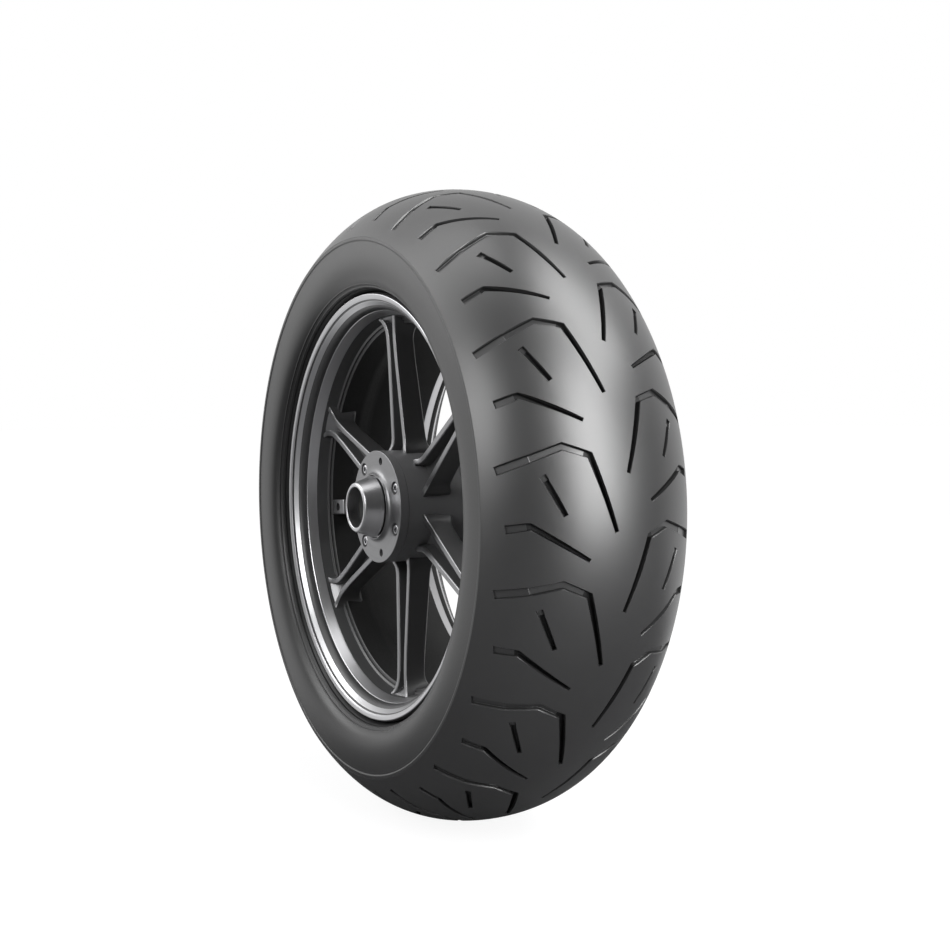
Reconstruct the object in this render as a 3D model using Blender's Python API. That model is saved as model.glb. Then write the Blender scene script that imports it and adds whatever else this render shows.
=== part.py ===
"""Motorcycle rear wheel: a grooved tyre on a six-spoke cast wheel with hub, bearings and cush drive.

Metres, +Z up. The axle runs along Y through the origin, at the middle of the tyre. The open side, with
the bolted end plate and the conical nose, faces -Y. The drive side faces +Y. Angles about the axle are
counted from +X towards +Z.
"""

import math

import bmesh
import bpy
from mathutils import Matrix, Vector

TAU = 2.0 * math.pi

# Clearance, overrun of cutters and the number of flats on round shapes
GAP = 0.0003
OVERRUN = 0.002
RING_STEPS = 32
SMALL_STEPS = 16
HOLE_SIDES = 8
VALVE_SIDES = 12
RING_FLAT = math.cos(math.pi / RING_STEPS)
SMALL_FLAT = math.cos(math.pi / SMALL_STEPS)
VALVE_FLAT = math.cos(math.pi / VALVE_SIDES)
EDGE_CHAMFER = 0.0008

# Rim
SEAT_RADIUS = 0.203
FLANGE_HEIGHT = 0.0138
HALF_BETWEEN_FLANGES = 0.079
FLANGE_WIDTH = 0.012
SEAT_LENGTH = 0.021
RIM_WALL = 0.0058
BARREL_RADIUS = SEAT_RADIUS - RIM_WALL
LIP_DEPTH = 0.0033
LIP_STEP = 0.0060
WELL_DROP = 0.0105
WELL_RADIUS = SEAT_RADIUS - WELL_DROP
WELL_WALL = 0.0055
WELL_FLOOR_RADIUS = WELL_RADIUS - WELL_WALL
WELL_START = -0.050
WELL_END = -0.020
WELL_RAMP = 0.012
HEEL_CHAMFER = 0.0016

# Tyre outline
SECTION_HEIGHT = 0.120
TYRE_RADIUS = SEAT_RADIUS + SECTION_HEIGHT
TREAD_HALF_WIDTH = 0.1076
TREAD_DROP = 0.0532
TREAD_EDGE_RADIUS = TYRE_RADIUS - TREAD_DROP
CROWN_REACH = 0.0449
SHOULDER_REACH = 0.0446
SHOULDER_SLOPE = math.radians(54.0)
TREAD_THICKNESS = 0.0085
BELT_THICKNESS = 0.0022
PLY_THICKNESS = 0.0037
TREAD_POINTS = 4
LAYER_POINTS = 3
WALL_POINTS = 3
SIDE_POINTS = 4
SIDE_SHOULDER_PULL = 0.018
SIDE_BULGE = 0.008
SIDE_FOOT_PULL = 0.0115
PLY_SHOULDER_PULL = 0.017
PLY_FOOT_PULL = 0.012

# Tread grooves, on one half of the tread
TREAD_PITCHES = 17
TREAD_PHASE = math.radians(12.5)
DRIVE_SIDE_LEAD = math.radians(8.7)
GROOVE_DEPTH = 0.005
GROOVE_STAND_OUT = 0.004
LONG_GROOVE_WIDTH = 0.0058
SIDE_GROOVE_WIDTH = 0.0050
# Each point is a distance from the tyre's middle and degrees from the long groove's peak
LONG_GROOVE = ((0.0985, -2.9), (0.0735, -1.3), (0.0515, 0.0), (0.0290, -1.6), (0.0068, -13.2))
MIDDLE_GROOVE = ((0.0938, -12.8), (0.0775, -12.2), (0.0308, -17.4))
SHORT_GROOVE = ((0.0680, -4.3), (0.0515, -10.6))

# Bead
BEAD_WIDTH = 0.0185
BEAD_TOE = HALF_BETWEEN_FLANGES - BEAD_WIDTH
BEAD_SKIN = 0.0026
BEAD_CORE_WIDTH = 0.0090
BEAD_CORE_HEIGHT = 0.0072
PLY_TURN_HEIGHT = 0.0105
FILLER_HEIGHT = 0.0175

# Spokes
SPOKE_COUNT = 6
SPOKE_PHASE = math.radians(4.0)
SPOKE_FRONT = -0.057
SPOKE_DEPTH = 0.024
SPOKE_HUB_WIDTH = 0.031
SPOKE_WAIST_WIDTH = 0.020
SPOKE_FOOT_WIDTH = 0.038
SPOKE_WAIST_RADIUS = WELL_FLOOR_RADIUS - 0.037
SPOKE_FLARE_RADIUS = WELL_FLOOR_RADIUS - 0.021
SPOKE_ROOT = 0.010
SPOKE_RIDGE = 0.0038
CHANNEL_DEPTH = 0.013
CHANNEL_HUB_WEB = 0.009
CHANNEL_FOOT_WEB = 0.010

# Hub
HUB_RADIUS = 0.057
HUB_FACE = -0.0697
DRUM_RADIUS = 0.082
DRUM_WALL = 0.006
DRUM_START = 0.022
DRUM_END = 0.0663
DRUM_TAPER = 0.024
CUSH_FLOOR = 0.025
HUB_TUBE_WALL = 0.0077
HUB_TUBE_END = 0.040
MIDDLE_BORE_RADIUS = 0.021

# End plate, its screws and the nose
PLATE_THICKNESS = 0.009
PLATE_RADIUS = HUB_RADIUS + 0.003
PLATE_HOLES = 7
PLATE_PHASE = math.radians(180.6)
PLATE_SCREWS = (1, 3, 4, 6)
PLATE_HOLE_CIRCLE = HUB_RADIUS - 0.0095
PLAIN_HOLE_RADIUS = 0.0040
COUNTERBORE_RADIUS = 0.0062
COUNTERBORE_DEPTH = 0.0055
SCREW_RADIUS = 0.0030
SCREW_HEAD_RADIUS = 0.0050
SCREW_HEAD_HEIGHT = 0.0050
SCREW_REACH = 0.014
SCREW_SOCKET_RADIUS = 0.0029
SCREW_SOCKET_DEPTH = 0.0028
NOSE_FLANGE = 0.007
NOSE_TIP_RADIUS = 0.0248
NOSE_LENGTH = 0.0237
NOSE_BORE_RADIUS = 0.0205

# Bearings and what lies between them on the axle
AXLE_RADIUS = 0.010
RACE_INNER_RADIUS = 0.0146
RACE_OUTER_RADIUS = 0.0214
BALL_PITCH_RADIUS = (RACE_INNER_RADIUS + RACE_OUTER_RADIUS) / 2
BEARING_RADIUS = 0.026
BEARING_BORE = BEARING_RADIUS + GAP
HUB_TUBE_RADIUS = BEARING_BORE + HUB_TUBE_WALL
NOSE_BASE_RADIUS = BEARING_RADIUS + NOSE_FLANGE
BEARING_WIDTH = 0.015
BALL_RADIUS = 0.0044
BALL_COUNT = 7
RACE_GROOVE_HALF = 0.0038
RACE_FLOOR_HALF = 0.0019
CAGE_HALF = 0.0009
OPEN_BEARING_START = -0.062
DRIVE_BEARING_START = 0.008
CARRIER_BEARING_START = 0.060
SLEEVE_RADIUS = 0.0132
SEAL_LIP_RADIUS = 0.013
SEAL_WIDTH = 0.006
SEAL_DEPTH = 0.013

# Cush drive
DAMPER_COUNT = 5
DAMPER_ARC_STEPS = 6
DAMPER_FLOOR = 0.0085
DAMPER_END = 0.062
CAST_VANE = 0.008
CARRIER_VANE = 0.008
CARRIER_VANE_INNER = HUB_TUBE_RADIUS + 0.005
CARRIER_VANE_CLEAR = 0.004
CARRIER_DISC = 0.0064
CARRIER_DISC_RADIUS = DRUM_RADIUS - 0.001
CARRIER_BOSS_RADIUS = BEARING_BORE + 0.0037
CARRIER_BOSS_FILLET = 0.003
CARRIER_BOSS_START = 0.056
CARRIER_BOSS_END = 0.0835
CIRCLIP_WIDTH = 0.0015
CIRCLIP_HEIGHT = 0.0035

# Valve, on a lug inside the rim, and the balance weight
VALVE_ANGLE = math.radians(184.0)
VALVE_AXIS_RADIUS = WELL_FLOOR_RADIUS - 0.015
LUG_HALF_WIDTH = 0.0085
LUG_REACH = 0.034
LUG_FRONT = -0.0483
LUG_DEPTH = 0.020
LUG_BACK = LUG_FRONT + LUG_DEPTH
DATUM_HOLE_RADIUS = 0.0045
DATUM_HOLE_DEPTH = 0.006
VALVE_HOLE_RADIUS = 0.0046
VALVE_HOLE_DEPTH = 0.011
AIR_WAY_RADIUS = 0.002
AIR_WAY_FLOOR = 0.0005
GROMMET_WALL = 0.0012
GROMMET_COLLAR = 0.0070
GROMMET_COLLAR_WIDTH = 0.002
STEM_BORE = 0.0014
STEM_LENGTH = 0.032
NUT_RADIUS = 0.0060
NUT_WIDTH = 0.005
PIN_RADIUS = 0.0009
PIN_LENGTH = 0.012
PIN_SIDES = 8
PIN_SUNK = 0.001
CAP_RADIUS = 0.0050
CAP_LENGTH = 0.012
CAP_GRIP = 0.009
WEIGHT_ANGLE = math.radians(3.2)
WEIGHT_SPAN = math.radians(17.3)
WEIGHT_STEPS = 4
WEIGHT_THICKNESS = 0.0040
WEIGHT_WIDTH = 0.018

SHARP_ANGLE = math.radians(35.0)
MATERIALS = {
    "tread_rubber": ((0.030, 0.030, 0.031), 0.62, 0.0),
    "sidewall_rubber": ((0.024, 0.024, 0.025), 0.55, 0.0),
    "cord_rubber": ((0.055, 0.050, 0.045), 0.80, 0.0),
    "bead_wire": ((0.45, 0.38, 0.26), 0.35, 1.0),
    "cast_alloy": ((0.035, 0.035, 0.037), 0.42, 0.3),
    "machined_alloy": ((0.62, 0.62, 0.63), 0.32, 1.0),
    "bearing_steel": ((0.60, 0.60, 0.61), 0.22, 1.0),
    "zinc_steel": ((0.38, 0.38, 0.39), 0.38, 1.0),
    "soft_rubber": ((0.020, 0.020, 0.020), 0.75, 0.0),
    "brass": ((0.62, 0.47, 0.20), 0.30, 1.0),
    "cap_plastic": ((0.015, 0.015, 0.015), 0.45, 0.0),
    "weight_alloy": ((0.30, 0.30, 0.31), 0.50, 0.8),
}


def clear_scene():
    for item in list(bpy.data.objects):
        bpy.data.objects.remove(item, do_unlink=True)


def material(name):
    found = bpy.data.materials.get(name)
    if found:
        return found
    colour, roughness, metallic = MATERIALS[name]
    made = bpy.data.materials.new(name)
    made.use_nodes = True
    shader = made.node_tree.nodes["Principled BSDF"]
    shader.inputs["Base Color"].default_value = (*colour, 1.0)
    shader.inputs["Roughness"].default_value = roughness
    shader.inputs["Metallic"].default_value = metallic
    made.diffuse_color = (*colour, 1.0)
    return made


def add_object(name, shape, finish=None, parent=None):
    """Turn a bmesh into a named object. With no finish it is a cutter or a blank, which is hidden."""
    bmesh.ops.recalc_face_normals(shape, faces=shape.faces)
    mesh = bpy.data.meshes.new(name)
    shape.to_mesh(mesh)
    shape.free()
    made = bpy.data.objects.new(name, mesh)
    bpy.context.scene.collection.objects.link(made)
    if finish:
        mesh.materials.append(material(finish))
        mesh.shade_smooth()
        mesh.set_sharp_from_angle(angle=SHARP_ANGLE)
    else:
        made.hide_render = True
        made.display_type = "WIRE"
    made.parent = parent
    return made


def add_axis(name, place=Matrix()):
    """An empty that carries the pieces on one axis."""
    axis = bpy.data.objects.new(name, None)
    axis.matrix_world = place
    bpy.context.scene.collection.objects.link(axis)
    return axis


def boolean(target, other, operation):
    step = target.modifiers.new(f"{operation.lower()} {other.name}", "BOOLEAN")
    step.operation = operation
    step.object = other
    step.solver = "EXACT"


def turned(name, section, finish=None, steps=SMALL_STEPS, parent=None):
    """Turn a section of (radius, along) points about Y. One that starts at radius 0 makes a solid."""
    shape = bmesh.new()
    corners = [shape.verts.new((radius, along, 0.0)) for radius, along in section]
    pairs = list(zip(corners, corners[1:]))
    if section[0][0] > 0.0:
        pairs.append((corners[-1], corners[0]))
    edges = [shape.edges.new(pair) for pair in pairs]
    bmesh.ops.spin(shape, geom=corners + edges, cent=(0, 0, 0), axis=(0, -1, 0), dvec=(0, 0, 0),
                   angle=TAU, steps=steps, use_merge=True, use_duplicate=False)
    bmesh.ops.remove_doubles(shape, verts=shape.verts, dist=1e-6)
    return add_object(name, shape, finish, parent)


def turned_path(name, path, finish, side=1):
    """Turn a large ring from (along, radius) points. A side of -1 mirrors it to the open side."""
    return turned(name, [(radius, side * along) for along, radius in path], finish, RING_STEPS)


def prism_into(shape, outline, start, end, place=Matrix()):
    """Add a prism to a bmesh: an outline of (x, z) points drawn from start to end along Y."""
    low = [shape.verts.new(place @ Vector((x, start, z))) for x, z in outline]
    high = [shape.verts.new(place @ Vector((x, end, z))) for x, z in outline]
    shape.faces.new(low)
    shape.faces.new(high[::-1])
    for i, corner in enumerate(low):
        after = (i + 1) % len(low)
        shape.faces.new((corner, high[i], high[after], low[after]))


def round_outline(radius, sides=HOLE_SIDES, centre=0.0):
    angles = [TAU * i / sides for i in range(sides)]
    return [(centre + radius * math.cos(a), radius * math.sin(a)) for a in angles]


def box_outline(inner, outer, half_width):
    return [(inner, -half_width), (outer, -half_width), (outer, half_width), (inner, half_width)]


def about_axle(angle):
    """Turn something drawn on +X to this angle about the axle."""
    return Matrix.Rotation(-angle, 4, "Y")


def holes(name, angles, circle, radius, start, end, sides=HOLE_SIDES):
    """Cutter for holes along Y, on a circle about the axle."""
    cutter = bmesh.new()
    for angle in angles:
        prism_into(cutter, round_outline(radius, sides, circle), start, end, about_axle(angle))
    return add_object(name, cutter)


def bezier(p0, p1, p2, p3, t):
    s = 1.0 - t
    shares = (s**3, 3 * s * s * t, 3 * s * t * t, t**3)
    return tuple(sum(share * value for share, value in zip(shares, values)) for values in zip(p0, p1, p2, p3))


def mirrored(half):
    """A half path, from the middle outwards, completed over both sides of the tyre."""
    return [(-along, radius) for along, radius in half[:0:-1]] + half


def crown_point(t, depth=0.0):
    """(along, radius) on the crown, sunk by a depth: t is 0 at the middle and 1 at the tread edge."""
    edge = (TREAD_HALF_WIDTH, TREAD_EDGE_RADIUS)
    curve = ((0.0, TYRE_RADIUS), (CROWN_REACH, TYRE_RADIUS),
             (edge[0] - SHOULDER_REACH * math.cos(SHOULDER_SLOPE),
              edge[1] + SHOULDER_REACH * math.sin(SHOULDER_SLOPE)), edge)
    along, radius = bezier(*curve, t)
    step = 1e-4
    before = Vector(bezier(*curve, max(t - step, 0.0)))
    after = Vector(bezier(*curve, min(t + step, 1.0)))
    slope = (after - before).normalized()
    return along + depth * slope.y, radius - depth * slope.x


def crown_path(depth, points=LAYER_POINTS):
    """The crown from the open side's tread edge to the drive side's, sunk by a depth."""
    return mirrored([crown_point(i / points, depth) for i in range(points + 1)])


def crown_radius(along):
    """Radius of the tread surface at a distance from the tyre's middle."""
    low, high = 0.0, 1.0
    for _ in range(40):
        middle = (low + high) / 2
        if crown_point(middle)[0] < abs(along):
            low = middle
        else:
            high = middle
    return crown_point(low)[1]


def groove_into(shape, points, width, side, turn):
    """Add one groove's cutter: a bent slot that follows the tread surface."""
    flat = [Vector((side * along, crown_radius(along) * math.radians(angle))) for along, angle in points]
    rails = []
    for i, spot in enumerate(flat):
        ahead = flat[min(i + 1, len(flat) - 1)] - flat[max(i - 1, 0)]
        across = Vector((-ahead.y, ahead.x)).normalized() * (width / 2)
        rails.append((spot + across, spot - across))
    ring = [rail[0] for rail in rails] + [rail[1] for rail in rails[::-1]]

    def corner(spot, lift):
        surface = crown_radius(spot.x)
        angle = turn + spot.y / surface
        radius = surface + lift
        return shape.verts.new((radius * math.cos(angle), spot.x, radius * math.sin(angle)))

    top = [corner(spot, GROOVE_STAND_OUT) for spot in ring]
    floor = [corner(spot, -GROOVE_DEPTH) for spot in ring]
    last = len(ring) - 1
    for i in range(len(points) - 1):
        shape.faces.new((top[i], top[i + 1], top[last - i - 1], top[last - i]))
        shape.faces.new((floor[last - i], floor[last - i - 1], floor[i + 1], floor[i]))
    for i in range(len(ring)):
        after = (i + 1) % len(ring)
        shape.faces.new((top[i], floor[i], floor[after], top[after]))


def make_tread():
    section = crown_path(0.0, TREAD_POINTS) + crown_path(TREAD_THICKNESS)[::-1]
    tread = turned_path("tread_cap", section, "tread_rubber")
    cutter = bmesh.new()
    for pitch in range(TREAD_PITCHES):
        for side, lead in ((-1, 0.0), (1, DRIVE_SIDE_LEAD)):
            turn = TREAD_PHASE + lead + TAU * pitch / TREAD_PITCHES
            groove_into(cutter, LONG_GROOVE, LONG_GROOVE_WIDTH, side, turn)
            groove_into(cutter, MIDDLE_GROOVE, SIDE_GROOVE_WIDTH, side, turn)
            groove_into(cutter, SHORT_GROOVE, SIDE_GROOVE_WIDTH, side, turn)
    boolean(tread, add_object("groove_cutter", cutter), "DIFFERENCE")


def make_belt():
    top = TREAD_THICKNESS + GAP
    turned_path("belt", crown_path(top) + crown_path(top + BELT_THICKNESS)[::-1], "cord_rubber")


def ply_wall():
    """Outer face of the casing ply, from the shoulder down to the bead, as (along, radius) points."""
    top = crown_point(1.0, TREAD_THICKNESS + BELT_THICKNESS + 2 * GAP)
    foot = (BEAD_TOE + PLY_THICKNESS, SEAT_RADIUS + PLY_TURN_HEIGHT)
    pulls = (top[0], top[1] - PLY_SHOULDER_PULL), (foot[0] + PLY_FOOT_PULL, foot[1] + PLY_FOOT_PULL)
    wall = [bezier(top, *pulls, foot, i / WALL_POINTS) for i in range(WALL_POINTS + 1)]
    return wall + [(foot[0], SEAT_RADIUS + GAP)]


def sunk(path, depth):
    """A path of (along, radius) points moved inward, square to itself, with mitred corners."""
    moved = []
    for i, point in enumerate(path):
        here = Vector(point)
        before = (here - Vector(path[max(i - 1, 0)])).normalized()
        after = (Vector(path[min(i + 1, len(path) - 1)]) - here).normalized()
        before = before if before.length else after
        after = after if after.length else before
        square = (Vector((before.y, -before.x)) + Vector((after.y, -after.x))).normalized()
        share = max(square.dot(Vector((before.y, -before.x))), 0.5)
        moved.append(tuple(here + square * (depth / share)))
    return moved


def make_carcass():
    crown = crown_path(TREAD_THICKNESS + BELT_THICKNESS + 2 * GAP)
    outer = mirrored(crown[LAYER_POINTS:] + ply_wall()[1:])
    turned_path("carcass", outer + sunk(outer, PLY_THICKNESS)[::-1], "cord_rubber")


def make_bead(side_name, side):
    inner_face = BEAD_TOE + PLY_THICKNESS + GAP
    outer_face = inner_face + BEAD_CORE_WIDTH
    low = SEAT_RADIUS + GAP + BEAD_SKIN + GAP
    high = low + BEAD_CORE_HEIGHT
    core = [(inner_face, high), (outer_face, high), (outer_face, low), (inner_face, low)]
    turned_path(f"bead_core_{side_name}", core, "bead_wire", side)

    base = high + GAP
    lean = [point for point in sunk(ply_wall(), -GAP) if base < point[1] < base + FILLER_HEIGHT]
    filler = lean + [(inner_face, base), (outer_face, base)]
    turned_path(f"bead_filler_{side_name}", filler, "sidewall_rubber", side)

    under_core = low - GAP
    beside_core = outer_face + GAP
    filler_tip = lean[0]
    pocket = [(inner_face, SEAT_RADIUS + GAP), (inner_face, under_core), (beside_core, under_core),
              (beside_core, base + GAP), (filler_tip[0] + GAP, filler_tip[1] + 2 * GAP)]
    above_filler = filler_tip[1] + PLY_THICKNESS
    skin = [point for point in sunk(ply_wall(), -GAP)[1:WALL_POINTS] if point[1] > above_filler]
    make_sidewall(side_name, side, pocket + skin[::-1])


def make_sidewall(side_name, side, inside):
    flange_top = SEAT_RADIUS + FLANGE_HEIGHT
    heel = HALF_BETWEEN_FLANGES - GAP
    guard = (HALF_BETWEEN_FLANGES + FLANGE_WIDTH + 0.0015, flange_top + 0.0024)
    edge = crown_point(1.0)
    pulls = (edge[0], edge[1] - SIDE_SHOULDER_PULL), (guard[0] + SIDE_BULGE, guard[1] + SIDE_FOOT_PULL)
    outside = [bezier(edge, *pulls, guard, i / SIDE_POINTS) for i in range(1, SIDE_POINTS + 1)]
    seat = SEAT_RADIUS + GAP
    chamfer = HEEL_CHAMFER + GAP
    heel_side = [(heel + FLANGE_WIDTH * 0.6, flange_top + 2 * GAP), (heel, flange_top - 0.0010),
                 (heel, seat + chamfer), (heel - chamfer, seat)]
    under_tread = crown_point(1.0, TREAD_THICKNESS + BELT_THICKNESS + GAP)
    section = [below_tread(edge), *outside, *heel_side, *inside, below_tread(under_tread)]
    turned_path(f"sidewall_{side_name}", section, "sidewall_rubber", side)


def below_tread(point):
    """A point one gap below the end face of the tread and the belt."""
    return (point[0] + GAP * math.cos(SHOULDER_SLOPE), point[1] - GAP * math.sin(SHOULDER_SLOPE))


def rim_tyre_face():
    """Tyre side of the rim, from the open side's lip to the drive side's, as (along, radius) points."""
    half = HALF_BETWEEN_FLANGES
    top = SEAT_RADIUS + FLANGE_HEIGHT
    flange = [(half + FLANGE_WIDTH, top - 0.0022), (half + FLANGE_WIDTH / 2, top), (half, top - 0.0040),
              (half, SEAT_RADIUS + HEEL_CHAMFER), (half - HEEL_CHAMFER, SEAT_RADIUS),
              (half - SEAT_LENGTH, SEAT_RADIUS)]
    well = [(WELL_START + 0.002, SEAT_RADIUS - 0.003), (WELL_START + WELL_WALL, WELL_RADIUS),
            (WELL_END, WELL_RADIUS), (WELL_END + WELL_RAMP, SEAT_RADIUS - 0.002)]
    return [(-along, radius) for along, radius in flange] + well + flange[::-1]


def rim_hub_face():
    """Hub side of the rim, from the open side's lip to the drive side's, as (along, radius) points."""
    half = HALF_BETWEEN_FLANGES
    lip = half + FLANGE_WIDTH
    lip_radius = SEAT_RADIUS + FLANGE_HEIGHT - LIP_DEPTH
    band = [(lip, lip_radius), (lip - 0.003, lip_radius - 0.0047), (half + 0.0035, BARREL_RADIUS + LIP_STEP),
            (half - 0.004, BARREL_RADIUS + 0.0016), (half - 0.0105, BARREL_RADIUS)]
    middle = well_hub_face() + [(WELL_END + WELL_RAMP + 0.002, BARREL_RADIUS - 0.0008)]
    return [(-along, radius) for along, radius in band] + middle + band[::-1]


def well_hub_face():
    """Hub side of the rim's well, where the spokes stand."""
    return [(SPOKE_FRONT - 0.0017, BARREL_RADIUS - 0.0014), (WELL_START + 0.0005, WELL_RADIUS - 0.0009),
            (WELL_START + 0.0012, WELL_FLOOR_RADIUS), (WELL_END - 0.002, WELL_FLOOR_RADIUS)]


def spoke_space():
    """Section of the ring that the spokes cross, one gap clear of the rim and of the hub."""
    outside = sunk(well_hub_face(), GAP)
    inside = [(along, HUB_RADIUS + GAP) for along in (outside[-1][0], outside[0][0])]
    return [(radius, along) for along, radius in outside + inside]


def spoke_half_width(radius):
    """Half the spoke's width: wide at the hub, narrow at the waist and flared at the foot."""
    if radius < SPOKE_WAIST_RADIUS:
        share = max(radius - HUB_RADIUS, 0.0) / (SPOKE_WAIST_RADIUS - HUB_RADIUS)
        return (SPOKE_HUB_WIDTH + (SPOKE_WAIST_WIDTH - SPOKE_HUB_WIDTH) * share) / 2
    share = max(radius - SPOKE_FLARE_RADIUS, 0.0) / (WELL_FLOOR_RADIUS - SPOKE_FLARE_RADIUS)
    return (SPOKE_WAIST_WIDTH + (SPOKE_FOOT_WIDTH - SPOKE_WAIST_WIDTH) * share * share) / 2


def spoke_outline(start, end, inset=0.0):
    flare = SPOKE_FLARE_RADIUS
    bends = (HUB_RADIUS, SPOKE_WAIST_RADIUS, flare, (flare + WELL_FLOOR_RADIUS) / 2, WELL_FLOOR_RADIUS)
    radii = [start, *(radius for radius in bends if start < radius < end), end]
    upper = [(radius, spoke_half_width(radius) - inset) for radius in radii]
    return [(radius, -half) for radius, half in upper] + upper[::-1]


def make_spokes():
    space = turned("spoke_space", spoke_space(), None, RING_STEPS)
    body = spoke_outline(HUB_RADIUS - SPOKE_ROOT, SEAT_RADIUS)
    hollow = spoke_outline(HUB_RADIUS + CHANNEL_HUB_WEB, WELL_FLOOR_RADIUS - CHANNEL_FOOT_WEB, SPOKE_RIDGE)
    for i in range(SPOKE_COUNT):
        place = about_axle(math.pi / 2 + SPOKE_PHASE + TAU * i / SPOKE_COUNT)
        blank = bmesh.new()
        prism_into(blank, body, SPOKE_FRONT, SPOKE_FRONT + SPOKE_DEPTH, place)
        spoke = add_object(f"spoke_{i + 1}", blank, "cast_alloy")
        boolean(spoke, space, "INTERSECT")
        channel = bmesh.new()
        prism_into(channel, hollow, SPOKE_FRONT - OVERRUN, SPOKE_FRONT + CHANNEL_DEPTH, place)
        boolean(spoke, add_object(f"spoke_channel_{i + 1}", channel), "DIFFERENCE")


def hub_section():
    bore = BEARING_BORE
    drum_inside = DRUM_RADIUS - DRUM_WALL
    open_seat = OPEN_BEARING_START + BEARING_WIDTH + GAP
    drive_seat = DRIVE_BEARING_START - GAP
    return [(bore, HUB_FACE), (HUB_RADIUS, HUB_FACE), (HUB_RADIUS, DRUM_START - DRUM_TAPER),
            (DRUM_RADIUS, DRUM_START), (DRUM_RADIUS, DRUM_END), (drum_inside, DRUM_END),
            (drum_inside, CUSH_FLOOR), (HUB_TUBE_RADIUS, CUSH_FLOOR), (HUB_TUBE_RADIUS, HUB_TUBE_END),
            (bore, HUB_TUBE_END), (bore, drive_seat), (MIDDLE_BORE_RADIUS, drive_seat),
            (MIDDLE_BORE_RADIUS, open_seat), (bore, open_seat)]


def vane_angle(i):
    return TAU * i / DAMPER_COUNT


def plate_angle(i):
    return PLATE_PHASE + TAU * i / PLATE_HOLES


def make_rim():
    rim = turned_path("wheel_rim", rim_tyre_face() + rim_hub_face()[::-1], "cast_alloy")
    lug = bmesh.new()
    foot = WELL_RADIUS - WELL_WALL / 2
    prism_into(lug, box_outline(foot - LUG_REACH, foot, LUG_HALF_WIDTH), LUG_FRONT, LUG_BACK,
               about_axle(VALVE_ANGLE))
    boolean(rim, add_object("valve_lug", lug), "UNION")
    boolean(rim, holes("datum_hole", [VALVE_ANGLE], VALVE_AXIS_RADIUS, DATUM_HOLE_RADIUS,
                       LUG_FRONT - OVERRUN, LUG_FRONT + DATUM_HOLE_DEPTH), "DIFFERENCE")
    boolean(rim, holes("valve_hole", [VALVE_ANGLE], VALVE_AXIS_RADIUS, VALVE_HOLE_RADIUS,
                       LUG_BACK - VALVE_HOLE_DEPTH, LUG_BACK + OVERRUN, VALVE_SIDES), "DIFFERENCE")
    air_way = bmesh.new()
    middle = LUG_BACK - VALVE_HOLE_DEPTH + AIR_WAY_RADIUS + AIR_WAY_FLOOR
    outward = Matrix.Translation((0.0, middle, 0.0)) @ Matrix.Rotation(-math.pi / 2, 4, "Z")
    prism_into(air_way, round_outline(AIR_WAY_RADIUS), VALVE_AXIS_RADIUS, WELL_RADIUS + OVERRUN,
               about_axle(VALVE_ANGLE) @ outward)
    boolean(rim, add_object("air_way", air_way), "DIFFERENCE")


def make_hub():
    hub = turned("wheel_hub", hub_section(), "cast_alloy", RING_STEPS)
    vanes = bmesh.new()
    outline = box_outline(HUB_TUBE_RADIUS - 0.001, DRUM_RADIUS - DRUM_WALL / 2, CAST_VANE / 2)
    for i in range(DAMPER_COUNT):
        prism_into(vanes, outline, CUSH_FLOOR - OVERRUN, DAMPER_END, about_axle(vane_angle(i)))
    boolean(hub, add_object("cast_vanes", vanes), "UNION")
    screws = [plate_angle(i) for i in PLATE_SCREWS]
    boolean(hub, holes("screw_threads", screws, PLATE_HOLE_CIRCLE, SCREW_RADIUS + GAP, HUB_FACE - OVERRUN,
                       HUB_FACE + SCREW_REACH + OVERRUN), "DIFFERENCE")


def make_end_plate():
    back = HUB_FACE - GAP
    front = back - PLATE_THICKNESS
    bore = NOSE_BASE_RADIUS + GAP
    section = [(bore, front), (PLATE_RADIUS - EDGE_CHAMFER, front), (PLATE_RADIUS, front + EDGE_CHAMFER),
               (PLATE_RADIUS, back), (bore, back)]
    plate = turned("hub_end_plate", section, "machined_alloy", RING_STEPS)
    screws = [plate_angle(i) for i in PLATE_SCREWS]
    plain = [plate_angle(i) for i in range(PLATE_HOLES) if i not in PLATE_SCREWS]
    floor = front + COUNTERBORE_DEPTH
    cuts = (("plain_holes", plain, PLAIN_HOLE_RADIUS, back + OVERRUN),
            ("screw_holes", screws, SCREW_RADIUS + GAP, back + OVERRUN),
            ("counterbores", screws, COUNTERBORE_RADIUS, floor))
    for name, angles, radius, end in cuts:
        boolean(plate, holes(name, angles, PLATE_HOLE_CIRCLE, radius, front - OVERRUN, end), "DIFFERENCE")
    for i, angle in enumerate(screws):
        place = about_axle(angle) @ Matrix.Translation((PLATE_HOLE_CIRCLE, 0.0, 0.0))
        make_screw(f"end_plate_bolt_{i + 1}", floor - GAP, place)
    make_nose(front - GAP, back)


def make_screw(name, under_head, place):
    top = under_head - SCREW_HEAD_HEIGHT
    tip = HUB_FACE + SCREW_REACH
    radius = SCREW_HEAD_RADIUS
    section = [(0.0, top), (radius - EDGE_CHAMFER, top), (radius, top + EDGE_CHAMFER), (radius, under_head),
               (SCREW_RADIUS, under_head), (SCREW_RADIUS, tip), (0.0, tip)]
    screw = turned(name, section, "zinc_steel", HOLE_SIDES)
    screw.matrix_world = place
    hexagon = bmesh.new()
    prism_into(hexagon, round_outline(SCREW_SOCKET_RADIUS, 6), top - OVERRUN, top + SCREW_SOCKET_DEPTH)
    boolean(screw, add_object(f"{name}_socket", hexagon, None, screw), "DIFFERENCE")


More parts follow.
